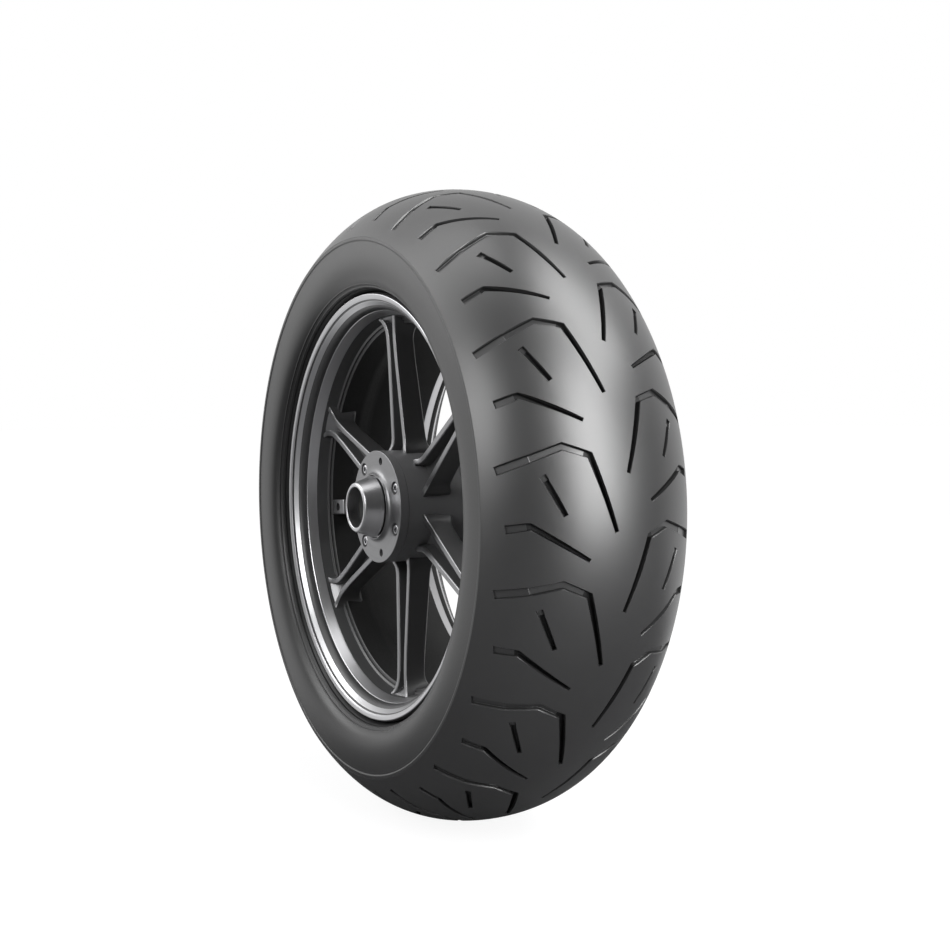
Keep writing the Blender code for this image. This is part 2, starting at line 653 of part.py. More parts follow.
def make_nose(base, seat):
    """The cone stands on the hub's face inside the end plate's bore, and its spigot holds the bearing."""
    tip = base - NOSE_LENGTH
    end = OPEN_BEARING_START - GAP
    section = [(NOSE_BORE_RADIUS, tip), (NOSE_TIP_RADIUS - EDGE_CHAMFER, tip),
               (NOSE_TIP_RADIUS, tip + EDGE_CHAMFER), (NOSE_BASE_RADIUS, base), (NOSE_BASE_RADIUS, seat),
               (BEARING_RADIUS, seat), (BEARING_RADIUS, end), (NOSE_BORE_RADIUS, end)]
    turned("bearing_retainer", section, "machined_alloy", RING_STEPS)
    seal = seal_section(tip + SEAL_DEPTH, NOSE_BORE_RADIUS - GAP)
    turned("dust_seal_open_side", seal, "soft_rubber")


def seal_section(start, outer):
    end = start + SEAL_WIDTH
    lip = SEAL_LIP_RADIUS
    return [(lip, start + 0.002), (lip + 0.001, start + 0.001), (outer - 0.002, start),
            (outer, start + EDGE_CHAMFER), (outer, end), (lip + 0.001, end), (lip, end - 0.002)]


def race_section(wall, shoulder, floor, start):
    """Section of a bearing race, with the ball groove between its shoulders."""
    end = start + BEARING_WIDTH
    middle = (start + end) / 2
    return [(wall, start), (shoulder, start), (shoulder, middle - RACE_GROOVE_HALF),
            (floor, middle - RACE_FLOOR_HALF), (floor, middle + RACE_FLOOR_HALF),
            (shoulder, middle + RACE_GROOVE_HALF), (shoulder, end), (wall, end)]


def make_bearing(name, start, parent=None):
    pitch = BALL_PITCH_RADIUS
    depth = BALL_RADIUS + GAP
    inner = race_section(AXLE_RADIUS, RACE_INNER_RADIUS, pitch - depth, start)
    turned(f"{name}_inner", inner, "bearing_steel")
    outer = race_section(BEARING_RADIUS, RACE_OUTER_RADIUS / SMALL_FLAT, (pitch + depth) / SMALL_FLAT, start)
    turned(f"{name}_outer", outer, "bearing_steel", SMALL_STEPS, parent)

    middle = start + BEARING_WIDTH / 2
    cage = [(pitch - CAGE_HALF, middle - CAGE_HALF), (pitch + CAGE_HALF, middle - CAGE_HALF),
            (pitch + CAGE_HALF, middle + CAGE_HALF), (pitch - CAGE_HALF, middle + CAGE_HALF)]
    ring = turned(f"{name}_balls", cage, "bearing_steel", 2 * BALL_COUNT)
    balls = bmesh.new()
    for i in range(BALL_COUNT):
        place = about_axle(TAU * i / BALL_COUNT) @ Matrix.Translation((pitch, middle, 0.0))
        bmesh.ops.create_uvsphere(balls, u_segments=6, v_segments=4, radius=BALL_RADIUS, matrix=place)
    boolean(ring, add_object(f"{name}_ball_set", balls), "UNION")


def sleeve(name, start, end):
    bore = AXLE_RADIUS + GAP
    turned(name, [(bore, start), (SLEEVE_RADIUS, start), (SLEEVE_RADIUS, end), (bore, end)], "zinc_steel")


def make_axle_stack():
    make_bearing("bearing_open_side", OPEN_BEARING_START)
    make_bearing("bearing_drive_side", DRIVE_BEARING_START)
    sleeve("distance_tube", OPEN_BEARING_START + BEARING_WIDTH + GAP, DRIVE_BEARING_START - GAP)
    sleeve("carrier_spacer", DRIVE_BEARING_START + BEARING_WIDTH + GAP, CARRIER_BEARING_START - GAP)


def damper_outline(inner, outer):
    """Outline of a damper: a ring sector whose ends lie flat against two cast vanes."""
    def arc(radius):
        lead = math.asin((CAST_VANE / 2 + GAP) / radius)
        step = (TAU / DAMPER_COUNT - 2 * lead) / DAMPER_ARC_STEPS
        angles = [lead + step * i for i in range(DAMPER_ARC_STEPS + 1)]
        return [(radius * math.cos(a), radius * math.sin(a)) for a in angles]

    return arc(inner) + arc(outer)[::-1]


def make_cush_drive():
    outer = (DRUM_RADIUS - DRUM_WALL) * RING_FLAT - GAP
    inner = HUB_TUBE_RADIUS / math.cos(math.pi / (DAMPER_ARC_STEPS * DAMPER_COUNT)) + GAP
    floor = CUSH_FLOOR + GAP
    slot_floor = floor + DAMPER_FLOOR
    slot = box_outline(inner - OVERRUN, outer + OVERRUN, CARRIER_VANE / 2 + GAP)
    for i in range(DAMPER_COUNT):
        block = bmesh.new()
        prism_into(block, damper_outline(inner, outer), floor, DAMPER_END, about_axle(vane_angle(i)))
        damper = add_object(f"cush_damper_{i + 1}", block, "soft_rubber")
        cut = bmesh.new()
        prism_into(cut, slot, slot_floor, DAMPER_END + OVERRUN, about_axle(vane_angle(i + 0.5)))
        boolean(damper, add_object(f"vane_slot_{i + 1}", cut), "DIFFERENCE")
    make_carrier(slot_floor + GAP)


def make_carrier(vane_start):
    axis = add_axis("carrier_axis")
    disc_start = DRUM_END + GAP
    disc_end = disc_start + CARRIER_DISC
    shoulder = CARRIER_BEARING_START - GAP
    boss = CARRIER_BOSS_RADIUS
    section = [(MIDDLE_BORE_RADIUS, CARRIER_BOSS_START), (boss, CARRIER_BOSS_START), (boss, disc_start),
               (CARRIER_DISC_RADIUS, disc_start), (CARRIER_DISC_RADIUS, disc_end),
               (boss + CARRIER_BOSS_FILLET, disc_end), (boss, disc_end + CARRIER_BOSS_FILLET),
               (boss, CARRIER_BOSS_END), (BEARING_BORE, CARRIER_BOSS_END), (BEARING_BORE, shoulder),
               (MIDDLE_BORE_RADIUS, shoulder)]
    carrier = turned("drive_carrier", section, "machined_alloy", RING_STEPS, axis)
    vanes = bmesh.new()
    outline = box_outline(CARRIER_VANE_INNER, DRUM_RADIUS - DRUM_WALL - CARRIER_VANE_CLEAR, CARRIER_VANE / 2)
    for i in range(DAMPER_COUNT):
        prism_into(vanes, outline, vane_start, disc_start + CARRIER_DISC / 2, about_axle(vane_angle(i + 0.5)))
    boolean(carrier, add_object("carrier_vanes", vanes, None, axis), "UNION")

    make_bearing("carrier_bearing", CARRIER_BEARING_START, axis)
    clip_start = CARRIER_BEARING_START + BEARING_WIDTH + GAP
    clip_end = clip_start + CIRCLIP_WIDTH
    clip_inner = BEARING_RADIUS - CIRCLIP_HEIGHT
    clip = [(clip_inner, clip_start), (BEARING_RADIUS, clip_start), (BEARING_RADIUS, clip_end),
            (clip_inner, clip_end)]
    turned("carrier_circlip", clip, "zinc_steel", SMALL_STEPS, axis)
    seal = seal_section(clip_end + GAP, BEARING_RADIUS)
    turned("dust_seal_drive_side", seal, "soft_rubber", SMALL_STEPS, axis)


def make_valve():
    """The valve stands on its own axis, beside the axle and parallel to it, and points to the drive side."""
    axis = add_axis("valve_axis", about_axle(VALVE_ANGLE) @ Matrix.Translation((VALVE_AXIS_RADIUS, 0.0, 0.0)))
    floor = LUG_BACK - VALVE_HOLE_DEPTH + 2 * AIR_WAY_RADIUS + 2 * AIR_WAY_FLOOR
    hole = VALVE_HOLE_RADIUS - 2 * GAP
    core = hole - GROMMET_WALL
    collar_start = LUG_BACK + GAP
    collar_end = collar_start + GROMMET_COLLAR_WIDTH
    grommet = [(core, floor), (hole, floor), (hole, collar_start), (GROMMET_COLLAR, collar_start),
               (GROMMET_COLLAR, collar_end), (core, collar_end)]
    turned("valve_grommet", grommet, "soft_rubber", VALVE_SIDES, axis)

    stem = core * VALVE_FLAT - GAP
    tip = LUG_BACK + STEM_LENGTH
    tube = [(STEM_BORE, floor), (stem, floor), (stem, tip), (STEM_BORE, tip)]
    turned("valve_stem", tube, "brass", VALVE_SIDES, axis)
    nut_start = collar_end + GAP
    nut_end = nut_start + NUT_WIDTH
    nut_bore = (stem + GAP) / math.cos(math.pi / 6)
    nut = [(nut_bore, nut_start), (NUT_RADIUS, nut_start), (NUT_RADIUS, nut_end), (nut_bore, nut_end)]
    turned("valve_nut", nut, "brass", 6, axis)

    pin_end = tip - PIN_SUNK
    pin_start = pin_end - PIN_LENGTH
    pin = [(0.0, pin_start), (PIN_RADIUS, pin_start), (PIN_RADIUS, pin_end), (0.0, pin_end)]
    turned("valve_pin", pin, "brass", PIN_SIDES, axis)
    cap_start = tip - CAP_GRIP
    cap_end = cap_start + CAP_LENGTH
    cap_bore = stem / VALVE_FLAT + GAP
    cap = [(0.0, tip + GAP), (cap_bore, tip + GAP), (cap_bore, cap_start), (CAP_RADIUS, cap_start),
           (CAP_RADIUS, cap_end - EDGE_CHAMFER), (CAP_RADIUS - EDGE_CHAMFER, cap_end), (0.0, cap_end)]
    turned("valve_cap", cap, "cap_plastic", VALVE_SIDES, axis)


def make_balance_weight():
    """A curved steel strip stuck inside the rim well, sized to balance the lug and the valve."""
    outer = WELL_FLOOR_RADIUS * RING_FLAT - GAP
    inner = outer - WEIGHT_THICKNESS
    angles = [WEIGHT_ANGLE + WEIGHT_SPAN * (i / WEIGHT_STEPS - 0.5) for i in range(WEIGHT_STEPS + 1)]
    outline = [(outer * math.cos(a), outer * math.sin(a)) for a in angles]
    outline += [(inner * math.cos(a), inner * math.sin(a)) for a in angles[::-1]]
    centre = (WELL_START + WELL_END) / 2
    strip = bmesh.new()
    prism_into(strip, outline, centre - WEIGHT_WIDTH / 2, centre + WEIGHT_WIDTH / 2)
    add_object("balance_weight", strip, "weight_alloy")


def main():
    clear_scene()
    make_tread()
    make_belt()
    make_carcass()
    make_bead("open_side", -1)
    make_bead("drive_side", 1)
    make_rim()
    make_spokes()
    make_hub()
    make_end_plate()
    make_axle_stack()
    make_cush_drive()
    make_valve()
    make_balance_weight()


main()
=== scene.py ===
"""Looks of a motorcycle rear wheel: tyre, cast wheel, hub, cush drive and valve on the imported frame.

Metres, +Z up. The axle runs along Y through the origin. The open side, with the bolted end plate, faces -Y
and the drive side faces +Y. Angles about the axle are counted from +X towards +Z. A section is a list of
(along, radius, rounding) corners, where along is the place on the axle and rounding softens the corner.
"""

import math

import bmesh
import bpy
from bpy.props import FloatProperty, FloatVectorProperty, IntProperty, PointerProperty
from bpy.types import Operator, Panel, PropertyGroup
from mathutils import Matrix, Vector


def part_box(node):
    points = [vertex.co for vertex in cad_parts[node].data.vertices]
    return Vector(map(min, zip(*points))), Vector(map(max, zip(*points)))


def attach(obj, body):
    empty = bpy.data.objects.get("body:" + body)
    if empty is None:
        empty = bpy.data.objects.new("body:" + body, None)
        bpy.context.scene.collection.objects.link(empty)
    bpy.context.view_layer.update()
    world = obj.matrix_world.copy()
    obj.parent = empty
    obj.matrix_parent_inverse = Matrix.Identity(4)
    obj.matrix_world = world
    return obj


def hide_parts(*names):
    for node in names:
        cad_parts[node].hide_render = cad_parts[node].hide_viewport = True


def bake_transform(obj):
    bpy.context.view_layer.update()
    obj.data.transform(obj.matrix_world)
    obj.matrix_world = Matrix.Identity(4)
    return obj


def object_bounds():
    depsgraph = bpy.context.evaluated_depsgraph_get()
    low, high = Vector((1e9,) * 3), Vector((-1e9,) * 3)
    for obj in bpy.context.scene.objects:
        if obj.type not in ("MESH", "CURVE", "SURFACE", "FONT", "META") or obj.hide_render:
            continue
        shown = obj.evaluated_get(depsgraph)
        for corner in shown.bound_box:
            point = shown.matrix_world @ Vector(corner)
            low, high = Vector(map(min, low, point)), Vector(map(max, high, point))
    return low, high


bl_info = {
    "name": "Motorcycle Rear Wheel",
    "version": (1, 0, 0),
    "blender": (4, 5, 0),
    "location": "View3D > Sidebar > Wheel",
    "description": "Builds a tyre, its cast wheel, the hub and the valve on the packed frame, with a studio",
    "category": "Object",
}

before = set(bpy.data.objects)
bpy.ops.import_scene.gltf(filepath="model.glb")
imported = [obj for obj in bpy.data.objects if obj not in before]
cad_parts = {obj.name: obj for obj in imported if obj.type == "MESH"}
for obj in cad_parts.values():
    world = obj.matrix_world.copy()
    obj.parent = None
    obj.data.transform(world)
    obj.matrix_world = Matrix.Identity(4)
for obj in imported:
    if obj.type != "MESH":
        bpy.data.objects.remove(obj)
CAD_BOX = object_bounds()

TAU = 2.0 * math.pi
GAP = 0.0003
WELD = 2e-6
SEAM_WELD = 5 * WELD
CUTTER_OVERRUN = 0.002
BIG_RING_STEPS = 272
RING_STEPS = 128
SMALL_STEPS = 48
ROUND_STEPS = 4
EDGE_STEPS = 2
SOFT_EDGE_STEPS = 3
HEXAGON = 6
SHARP_ANGLE = math.radians(38.0)

TREAD_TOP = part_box("tread_cap")[1]
HUB_LOW, HUB_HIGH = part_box("wheel_hub")
PLATE_LOW, PLATE_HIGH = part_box("hub_end_plate")
NOSE_LOW, NOSE_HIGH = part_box("bearing_retainer")
CARRIER_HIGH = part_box("drive_carrier")[1]
WEIGHT_LOW, WEIGHT_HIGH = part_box("balance_weight")

# Finishes: the blue in a grey setting, the span of the noise that counts, and the height of its bumps
COOL_TINT = 1.02
GRAIN_LOW = 0.3
GRAIN_HIGH = 0.7
GRAIN_HEIGHT = 0.0004

# Tyre outline
TREAD_DROP = 0.0532
CROWN_REACH = 0.0449
SHOULDER_REACH = 0.0446
SHOULDER_SLOPE = math.radians(54.0)
TREAD_THICKNESS = 0.0085
CROWN_SAMPLES = 400
RIM_GUARD = (0.0925, 0.2192)
SIDE_SHOULDER_PULL = 0.035
SIDE_BULGE = 0.0143
SIDE_FOOT_PULL = 0.0083
SIDEWALL_THICKNESS = 0.0026
# Shares of the way down the sidewall, and how far its skin lies below the moulded ribs there
SIDEWALL_RELIEF = ((0.0, 0.0), (0.030, 0.0), (0.042, 0.0008), (0.80, 0.0008), (0.815, 0.0003),
                   (0.83, 0.0003), (0.845, 0.0008), (0.90, 0.0008), (0.915, 0.0), (0.97, 0.0003),
                   (1.0, 0.0012))
SIDEWALL_STEP = 0.02
RIB_ROUNDING = 0.0003
SIDEWALL_HEEL = ((0.0859, 0.2175, 0.0008), (0.0787, 0.2158, 0.0010), (0.0787, 0.2062, 0.0),
                 (0.0762, 0.2062, 0.0), (0.0762, 0.2170, 0.0))
# Shares of each outline at which its inside is drawn
TREAD_LINING = (1.0, 0.75, 0.5, 0.25)
SIDEWALL_LINING = (0.9, 0.7, 0.5, 0.3, 0.15, 0.0)

# Tread grooves on one half of the tread, drawn on one pitch
PITCH_STEPS = 34
CROWN_STEPS = 34
LEAD_STEPS = 14
PITCH_START = math.radians(-19.5)
TREAD_PHASE = math.radians(12.5)
GROOVE_LIP = 0.0006
GROOVE_RISE = 0.0015
GROOVE_FLOOR_ROUND = 0.0004
GROOVE_DRAFT = 0.0004
# A bend widens a groove up to 1 / GROOVE_MITRE, and a face that rises less than GROOVE_WALL is its wall
GROOVE_MITRE = 0.5
GROOVE_WALL = 0.6
# Each station: distance from the middle, degrees from the long groove's peak, width, depth
LONG_GROOVE = ((0.0985, -2.9, 0.0082, 0.0024), (0.0768, -1.52, 0.0076, 0.0025),
               (0.0764, -1.49, 0.0070, 0.0029), (0.0515, 0.0, 0.0060, 0.0030),
               (0.0335, -1.28, 0.0053, 0.0030), (0.0290, -1.6, 0.0051, 0.0048),
               (0.0068, -13.2, 0.0032, 0.0044))
MIDDLE_GROOVE = ((0.0938, -12.8, 0.0076, 0.0026), (0.0805, -12.31, 0.0068, 0.0028),
                 (0.0775, -12.2, 0.0052, 0.0042), (0.0308, -17.4, 0.0026, 0.0044))
SHORT_GROOVE = ((0.0680, -4.3, 0.0056, 0.0024), (0.0658, -5.14, 0.0052, 0.0026),
                (0.0654, -5.3, 0.0044, 0.0040), (0.0515, -10.6, 0.0036, 0.0046))
# Floors deeper than this, and the grooves' walls, get the darker rubber of the grooves: painted shade in the
# grooves
SHALLOW_GROOVE = 0.0031

# Rim sections: the lip and its bands on both sides, then the well with its rib on the open side
RIM_BANDS = ((0.0910, 0.2142, 0.0005), (0.0899, 0.2104, 0.0014), (0.0889, 0.2093, 0.0002),
             (0.0884, 0.2102, 0.0002), (0.0872, 0.2077, 0.0003), (0.0832, 0.2040, 0.0008),
             (0.0802, 0.2004, 0.0028), (0.0750, 0.1995, 0.0008), (0.0742, 0.1988, 0.0008),
             (0.0643, 0.1949, 0.0016))
RIM_WELL = ((-0.0524, 0.1926, 0.0008), (-0.0511, 0.1903, 0.0004), (-0.0502, 0.1903, 0.0004),
            (-0.0495, 0.1914, 0.0003), (-0.0486, 0.1871, 0.0009), (-0.0220, 0.1870, 0.0030),
            (-0.0060, 0.1962, 0.0040))
RIM_FLANGE = ((0.0907, 0.2149, 0.0008), (0.0850, 0.2168, 0.0010), (0.0790, 0.2128, 0.0010),
              (0.0790, 0.2046, 0.0005), (0.0774, 0.2030, 0.0005), (0.0580, 0.2030, 0.0020))
RIM_TYRE_WELL = ((-0.0080, 0.2010, 0.0020), (-0.0200, 0.1925, 0.0020), (-0.0445, 0.1925, 0.0020),
                 (-0.0480, 0.2000, 0.0010))
# Distances from the rim's middle between which it is bare alloy, and where its inside starts, in a matt
# finish darker than the satin paint: painted shade in the well
BRIGHT_BANDS = ((0.0889, 0.0920), (0.0832, 0.0874), (0.0646, 0.0748))
WELL_START = -0.0480

# Spokes
SPOKE_COUNT = 6
SPOKE_PHASE = math.radians(94.0)
SPOKE_ROOT_RADIUS = 0.049
SPOKE_WAIST_RADIUS = 0.150
SPOKE_FLARE_RADIUS = 0.164
SPOKE_FOOT_RADIUS = 0.187
SPOKE_SHARES = (0.0, 0.04, 0.062, 0.085, 0.11, 0.15, 0.3, 0.5, 0.7, 0.78, 0.83, 0.87, 0.90, 0.925, 0.945,
                0.96, 0.972, 0.984, 1.0)
SPOKE_LEAN = -0.0070
SPOKE_TAPER = 0.0040
SPOKE_ROOT_FILLET = 0.0030
SPOKE_ROOT_REACH = 0.012
SPOKE_ROOT_FLARE = 0.004
SPOKE_FOOT_FILLET = 0.0075
SPOKE_FOOT_FRONT = 0.0045
SPOKE_FOOT_REACH = 0.016
SPOKE_DRAFT = 0.0015
CHANNEL_RISE = 0.013
CHANNEL_SILL = 0.05
FOOT_SINK = 0.0022
# Rounding of a spoke's long edges, by their numbers round its outline: ridges, channel floor, back
SPOKE_EDGES = ((0.0024, (0, 1, 4, 5)), (0.0028, (2, 3)), (0.0022, (6, 7)))
# A ridge's bright face looks to the open side, and lies in the first share of the channel's depth
RIDGE_FACING = -0.35
RIDGE_SHARE = 1 / 3

# Hub, end plate and nose
HUB_RADIUS = 0.057
DRUM_FLARE_START = -0.002
DRUM_FLARE_END = 0.022
DRUM_WALL = 0.006
CUSH_FLOOR = 0.025
HUB_TUBE_RADIUS = 0.034
HUB_TUBE_END = 0.040
VANE_HALF = 0.004
VANE_SINK = 0.001
BEARING_BORE = 0.0263
BEARING_SHOULDER = 0.021
OPEN_SEAT_END = -0.0467
DRIVE_SEAT_START = 0.0077
PLATE_HOLES = 7
PLATE_PHASE = math.radians(180.6)
PLATE_SCREWS = (1, 3, 4, 6)
PLATE_HOLE_CIRCLE = 0.0475
PLATE_RADIUS = 0.0572
PLATE_ROUNDING = 0.0006
PLATE_HOLE_EDGE = 0.00035
PLATE_COVE = ((-0.0832, 0.0322, 0.0002), (-0.0832, 0.0330, 0.0002), (-0.0802, 0.0346, 0.0022),
              (-0.0790, 0.0395, 0.0030))
PLAIN_HOLE_RADIUS = 0.0040
COUNTERBORE_RADIUS = 0.0066
COUNTERBORE_DEPTH = 0.0055
SCREW_RADIUS = 0.0030
SCREW_HEAD_RADIUS = 0.0048
SCREW_HEAD_HEIGHT = 0.0046
SCREW_REACH = 0.014
SCREW_SOCKET_RADIUS = 0.0029
SCREW_SOCKET_DEPTH = 0.0028
SCREW_EDGE = 0.00022
NOSE_BASE_RADIUS = 0.033
NOSE_CONE_RADIUS = 0.0314
NOSE_TIP_RADIUS = 0.0246
NOSE_NECK_RADIUS = 0.0296
NOSE_NECK_WIDTH = 0.0013
NOSE_BORE_RADIUS = 0.0205
SEAL_WIDTH = 0.006
SEAL_LIP_RADIUS = 0.013
SEAL_LIP_INSET = 0.002
SEAL_LIP_SLOPE = 0.001
# The rolled edge of a seal's lip, then the valley behind it: in from the seal's face, out from its lip
SEAL_ROLL = (0.0008, 0.0012)
SEAL_VALLEY = (0.0016, 0.0024)
SEAL_RIM = 0.0022

# Axle stack and carrier
AXLE_RADIUS = 0.010
RACE_RADIUS = 0.0146
RACE_GROOVE_HALF = 0.0038
RACE_GROOVE_DEPTH = 0.0012
SLEEVE_RADIUS = 0.0132
CUSH_COUNT = 5
CARRIER_BOSS_RADIUS = 0.030
CARRIER_BOSS_START = 0.056
CARRIER_SEAT_START = 0.0597
CARRIER_HOLE_CIRCLE = 0.064
CARRIER_HOLE_RADIUS = 0.0043
CARRIER_HOLE_DEPTH = 0.0058
CARRIER_RING_RADIUS = 0.0565
CARRIER_WEB_RADIUS = 0.0545
CARRIER_RECESS = 0.0022
CARRIER_DISC_START = 0.0666
CARRIER_DISC_END = 0.0730
CARRIER_VANE_INNER = 0.039
CARRIER_VANE_OUTER = 0.072
CARRIER_VANE_START = 0.0341
CARRIER_EDGE = 0.0004
DAMPER_STEPS = 10
DAMPER_ROUNDING = 0.0015

# Valve and its lug
VALVE_ANGLE = math.radians(184.0)
VALVE_AXIS_RADIUS = 0.172
LUG_INNER_RADIUS = 0.1558
LUG_OUTER_RADIUS = 0.1898
LUG_HALF_WIDTH = 0.0085
LUG_FRONT = -0.0483
LUG_BACK = -0.0283
LUG_ROUNDING = 0.0016
LUG_FACING = -0.4
LUG_SKIN = 0.001
DATUM_HOLE_RADIUS = 0.0045
DATUM_HOLE_DEPTH = 0.006
VALVE_HOLE_RADIUS = 0.0046
VALVE_HOLE_DEPTH = 0.011
STEM_RADIUS = 0.0024
STEM_BORE = 0.0014
STEM_STEPS = 32
THREAD_PITCH = 0.0008
THREAD_DEPTH = 0.00025
THREAD_LEAD_IN = 0.0002
THREAD_RUN_OUT = 0.0004
GROMMET_BORE = 0.0028
GROMMET_RADIUS = 0.0040
COLLAR_RADIUS = 0.0070
COLLAR_WIDTH = 0.0020
NUT_BORE = 0.0031
NUT_RADIUS = 0.0060
NUT_EDGE = 0.0004
PIN_RADIUS = 0.0009
PIN_STEPS = 16
CAP_RADIUS = 0.0050
CAP_BORE = 0.0028
CAP_WAIST = 0.0046
CAP_HEM = 0.0012
CAP_SHOULDER = 0.0016
CAP_SHOULDER_STEP = 0.0002
CAP_TOP_STEP = 0.0008
CAP_RIBS = 24
CAP_RIB_START = 0.0016
CAP_RIB_END = 0.0024
CAP_RIB_INSET = 0.00008
CAP_RIB_HEIGHT = 0.00035
CAP_OUTSIDE = 0.97

# Balance weight
WEIGHT_ANGLE = math.radians(3.2)
WEIGHT_SPAN = math.radians(17.3)
WEIGHT_THICKNESS = 0.0040
WEIGHT_BLOCKS = 4
WEIGHT_BLOCK_GAP = math.radians(0.35)
WEIGHT_BLOCK_STEPS = 6
WEIGHT_ROUNDING = 0.0007

# Studio, with the camera where the photograph was taken
CAMERA_PLACE = Vector((1.2454, -0.6520, 0.0960))
CAMERA_AZIMUTH = math.radians(61.09)
CAMERA_ELEVATION = math.radians(2.67)
CAMERA_LENS = 50.94
CAMERA_SENSOR = 36.0
WHITE = (1.0, 1.0, 1.0, 1.0)
SOFTBOX_DISTANCE = 2.2
# Each softbox: its direction from the wheel as (right, up, back) in the camera's view, its width and height
SOFTBOXES = {
    "key": ((0.62, 0.30, 0.72), (1.2, 2.0)),
    "top": ((0.54, 0.80, 0.18), (1.0, 1.5)),
    "ceiling": ((-0.44, 0.88, 0.06), (1.1, 2.2)),
    "left": ((-0.70, 0.05, 0.60), (0.7, 1.4)),
    "fill": ((-0.64, 0.38, 0.66), (1.0, 1.0)),
    "side": ((-0.86, 0.44, -0.24), (1.0, 1.2)),
}
# Where the backdrop fades in along the view: by direction in the room, by distance on the floor
ROOM_BACKDROP = (0.0, 0.6)
FLOOR_BACKDROP = (0.1, 0.5)
FLOOR_HALF_SIZE = 30.0
FLOOR_GAP = 0.0005
FLOOR_ROUGHNESS = 0.9
FLOOR_GLOW = 0.90
FLOOR_GLOW_NEAR = 0.5
FLOOR_GLOW_FAR = 2.5


def size_of(name, description, default):
    """A length in the settings."""
    return FloatProperty(name=name, description=description, default=default, unit="LENGTH", precision=4)


def colour_of(name, description, level):
    """A grey in the settings."""
    return FloatVectorProperty(name=name, description=description, default=(level, level, level * COOL_TINT),
                               subtype="COLOR", size=3, min=0.0, max=1.0)


def power_of(name, description, default):
    """A lamp's power in the settings."""
    return FloatProperty(name=name, description=description, default=default, min=0.0, unit="POWER")


class TyreSettings(PropertyGroup):
    """Sizes and colours of the tyre."""

    radius: size_of("Tyre radius", "From the axle to the crown of the tread", TREAD_TOP.x)
    half_width: size_of("Half width", "From the tyre's middle to the edge of the tread", TREAD_TOP.y)
    pitches: IntProperty(name="Tread pitches", description="Groups of grooves round the tyre", default=17,
                         min=3)
    tread_colour: colour_of("Tread colour", "Rubber of the tread", 0.014)
    # The grooves' colour is darker than the tread's own rubber: painted shade in the grooves
    groove_painted_shade_colour: colour_of("Groove colour", "Rubber inside the grooves", 0.006)
    sidewall_colour: colour_of("Sidewall colour", "Rubber of the sidewalls", 0.010)


class WheelSettings(PropertyGroup):
    """Sizes and colours of the cast wheel."""

    spoke_front: size_of("Spoke front", "Place on the axle where the spokes' front leaves the hub", -0.0510)
    spoke_depth: size_of("Spoke depth", "Depth of a spoke along the axle at the hub", 0.026)
    hub_width: size_of("Spoke width at the hub", "Width of a spoke where it leaves the hub", 0.034)
    waist_width: size_of("Spoke width at the waist", "Width of a spoke at its narrowest", 0.022)
    foot_width: size_of("Spoke width at the foot", "Width of a spoke where it meets the rim", 0.029)
    ridge_width: size_of("Ridge width", "Width of the two bright ridges on a spoke", 0.0066)
    channel_depth: size_of("Channel depth", "Depth of the channel between the ridges", 0.011)
    paint_colour: colour_of("Paint colour", "Dark satin paint on the casting", 0.052)
    # The hub's paint is a lighter copy of the casting's satin paint: painted light on the barrel
    hub_colour_with_painted_light: colour_of("Hub colour", "Paint on the hub barrel", 0.14)
    machined_colour: colour_of("Machined colour", "Bare alloy on the lip and the nose", 0.47)
    plate_colour: colour_of("Plate colour", "Bare alloy on the end plate", 0.21)
    ridge_colour: colour_of("Ridge colour", "Bare alloy on the spokes' ridges", 0.26)


class StudioSettings(PropertyGroup):
    """Light and floor of the studio."""

    key_power: power_of("Key power", "Tall softbox on the right of the camera", 80.0)
    top_power: power_of("Top power", "Softbox above the wheel, on its right", 36.0)
    ceiling_power: power_of("Ceiling power", "Broad weak softbox over the wheel's left", 20.0)
    left_power: power_of("Left power", "Weak softbox on the left of the camera", 3.5)
    fill_power: power_of("Fill power", "Softbox up on the left, towards the hub", 20.0)
    side_power: power_of("Side power", "Softbox at the far left, above and behind the wheel", 16.0)
    room_light: FloatProperty(name="Room light", description="Level of the light from all round",
                              default=0.05, min=0.0, subtype="FACTOR")
    floor_colour: colour_of("Floor colour", "Floor's own colour under its white glow", 0.16)


class RearWheelSettings(PropertyGroup):
    """All the settings of the rear wheel."""

    tyre: PointerProperty(name="Tyre", description="Settings of the tyre", type=TyreSettings)
    wheel: PointerProperty(name="Wheel", description="Settings of the cast wheel", type=WheelSettings)
    studio: PointerProperty(name="Studio", description="Settings of the studio", type=StudioSettings)


def settings():
    return bpy.context.scene.rear_wheel


# Shaping


def about_axle(angle):
    """Turn something drawn on +X to this angle about the axle."""
    return Matrix.Rotation(-angle, 4, "Y")


def along_axle(spot):
    """Stand a shape that was made along Z on the axle's direction, at a spot."""
    return Matrix.Translation(spot) @ Matrix.Rotation(math.pi / 2, 4, "X")


def vertices_in(geometry):
    return [item for item in geometry if isinstance(item, bmesh.types.BMVert)]


def whole(shape):
    return shape.verts[:] + shape.edges[:] + shape.faces[:]


def flipped(corners):
    """The same corners on the other side of the tyre's middle."""
    return [(-along, radius, rounding) for along, radius, rounding in corners]


def bezier(curve, share):
    """The point at a share of a curve that four points control."""
    left = 1.0 - share
    pulls = (left**3, 3 * left * left * share, 3 * left * share * share, share**3)
    return Vector([sum(pull * value for pull, value in zip(pulls, values)) for values in zip(*curve)])


def face_outwards(shape):
    bmesh.ops.recalc_face_normals(shape, faces=shape.faces)


def place(shape, matrix):
    bmesh.ops.transform(shape, verts=shape.verts, matrix=matrix)


def bevel(shape, parts, width, segments, affect="EDGES"):
    bmesh.ops.bevel(shape, geom=parts, offset=width, offset_type="OFFSET", segments=segments, profile=0.5,
                    affect=affect, material=-1, clamp_overlap=True)


def spin(shape, parts, angle, steps, merge=False, copies=False):
    """Sweep parts of a shape about the axle, or set copies of them round it."""
    bmesh.ops.spin(shape, geom=parts, cent=(0, 0, 0), axis=(0, -1, 0), dvec=(0, 0, 0), angle=angle,
                   steps=steps, use_merge=merge, use_duplicate=copies)


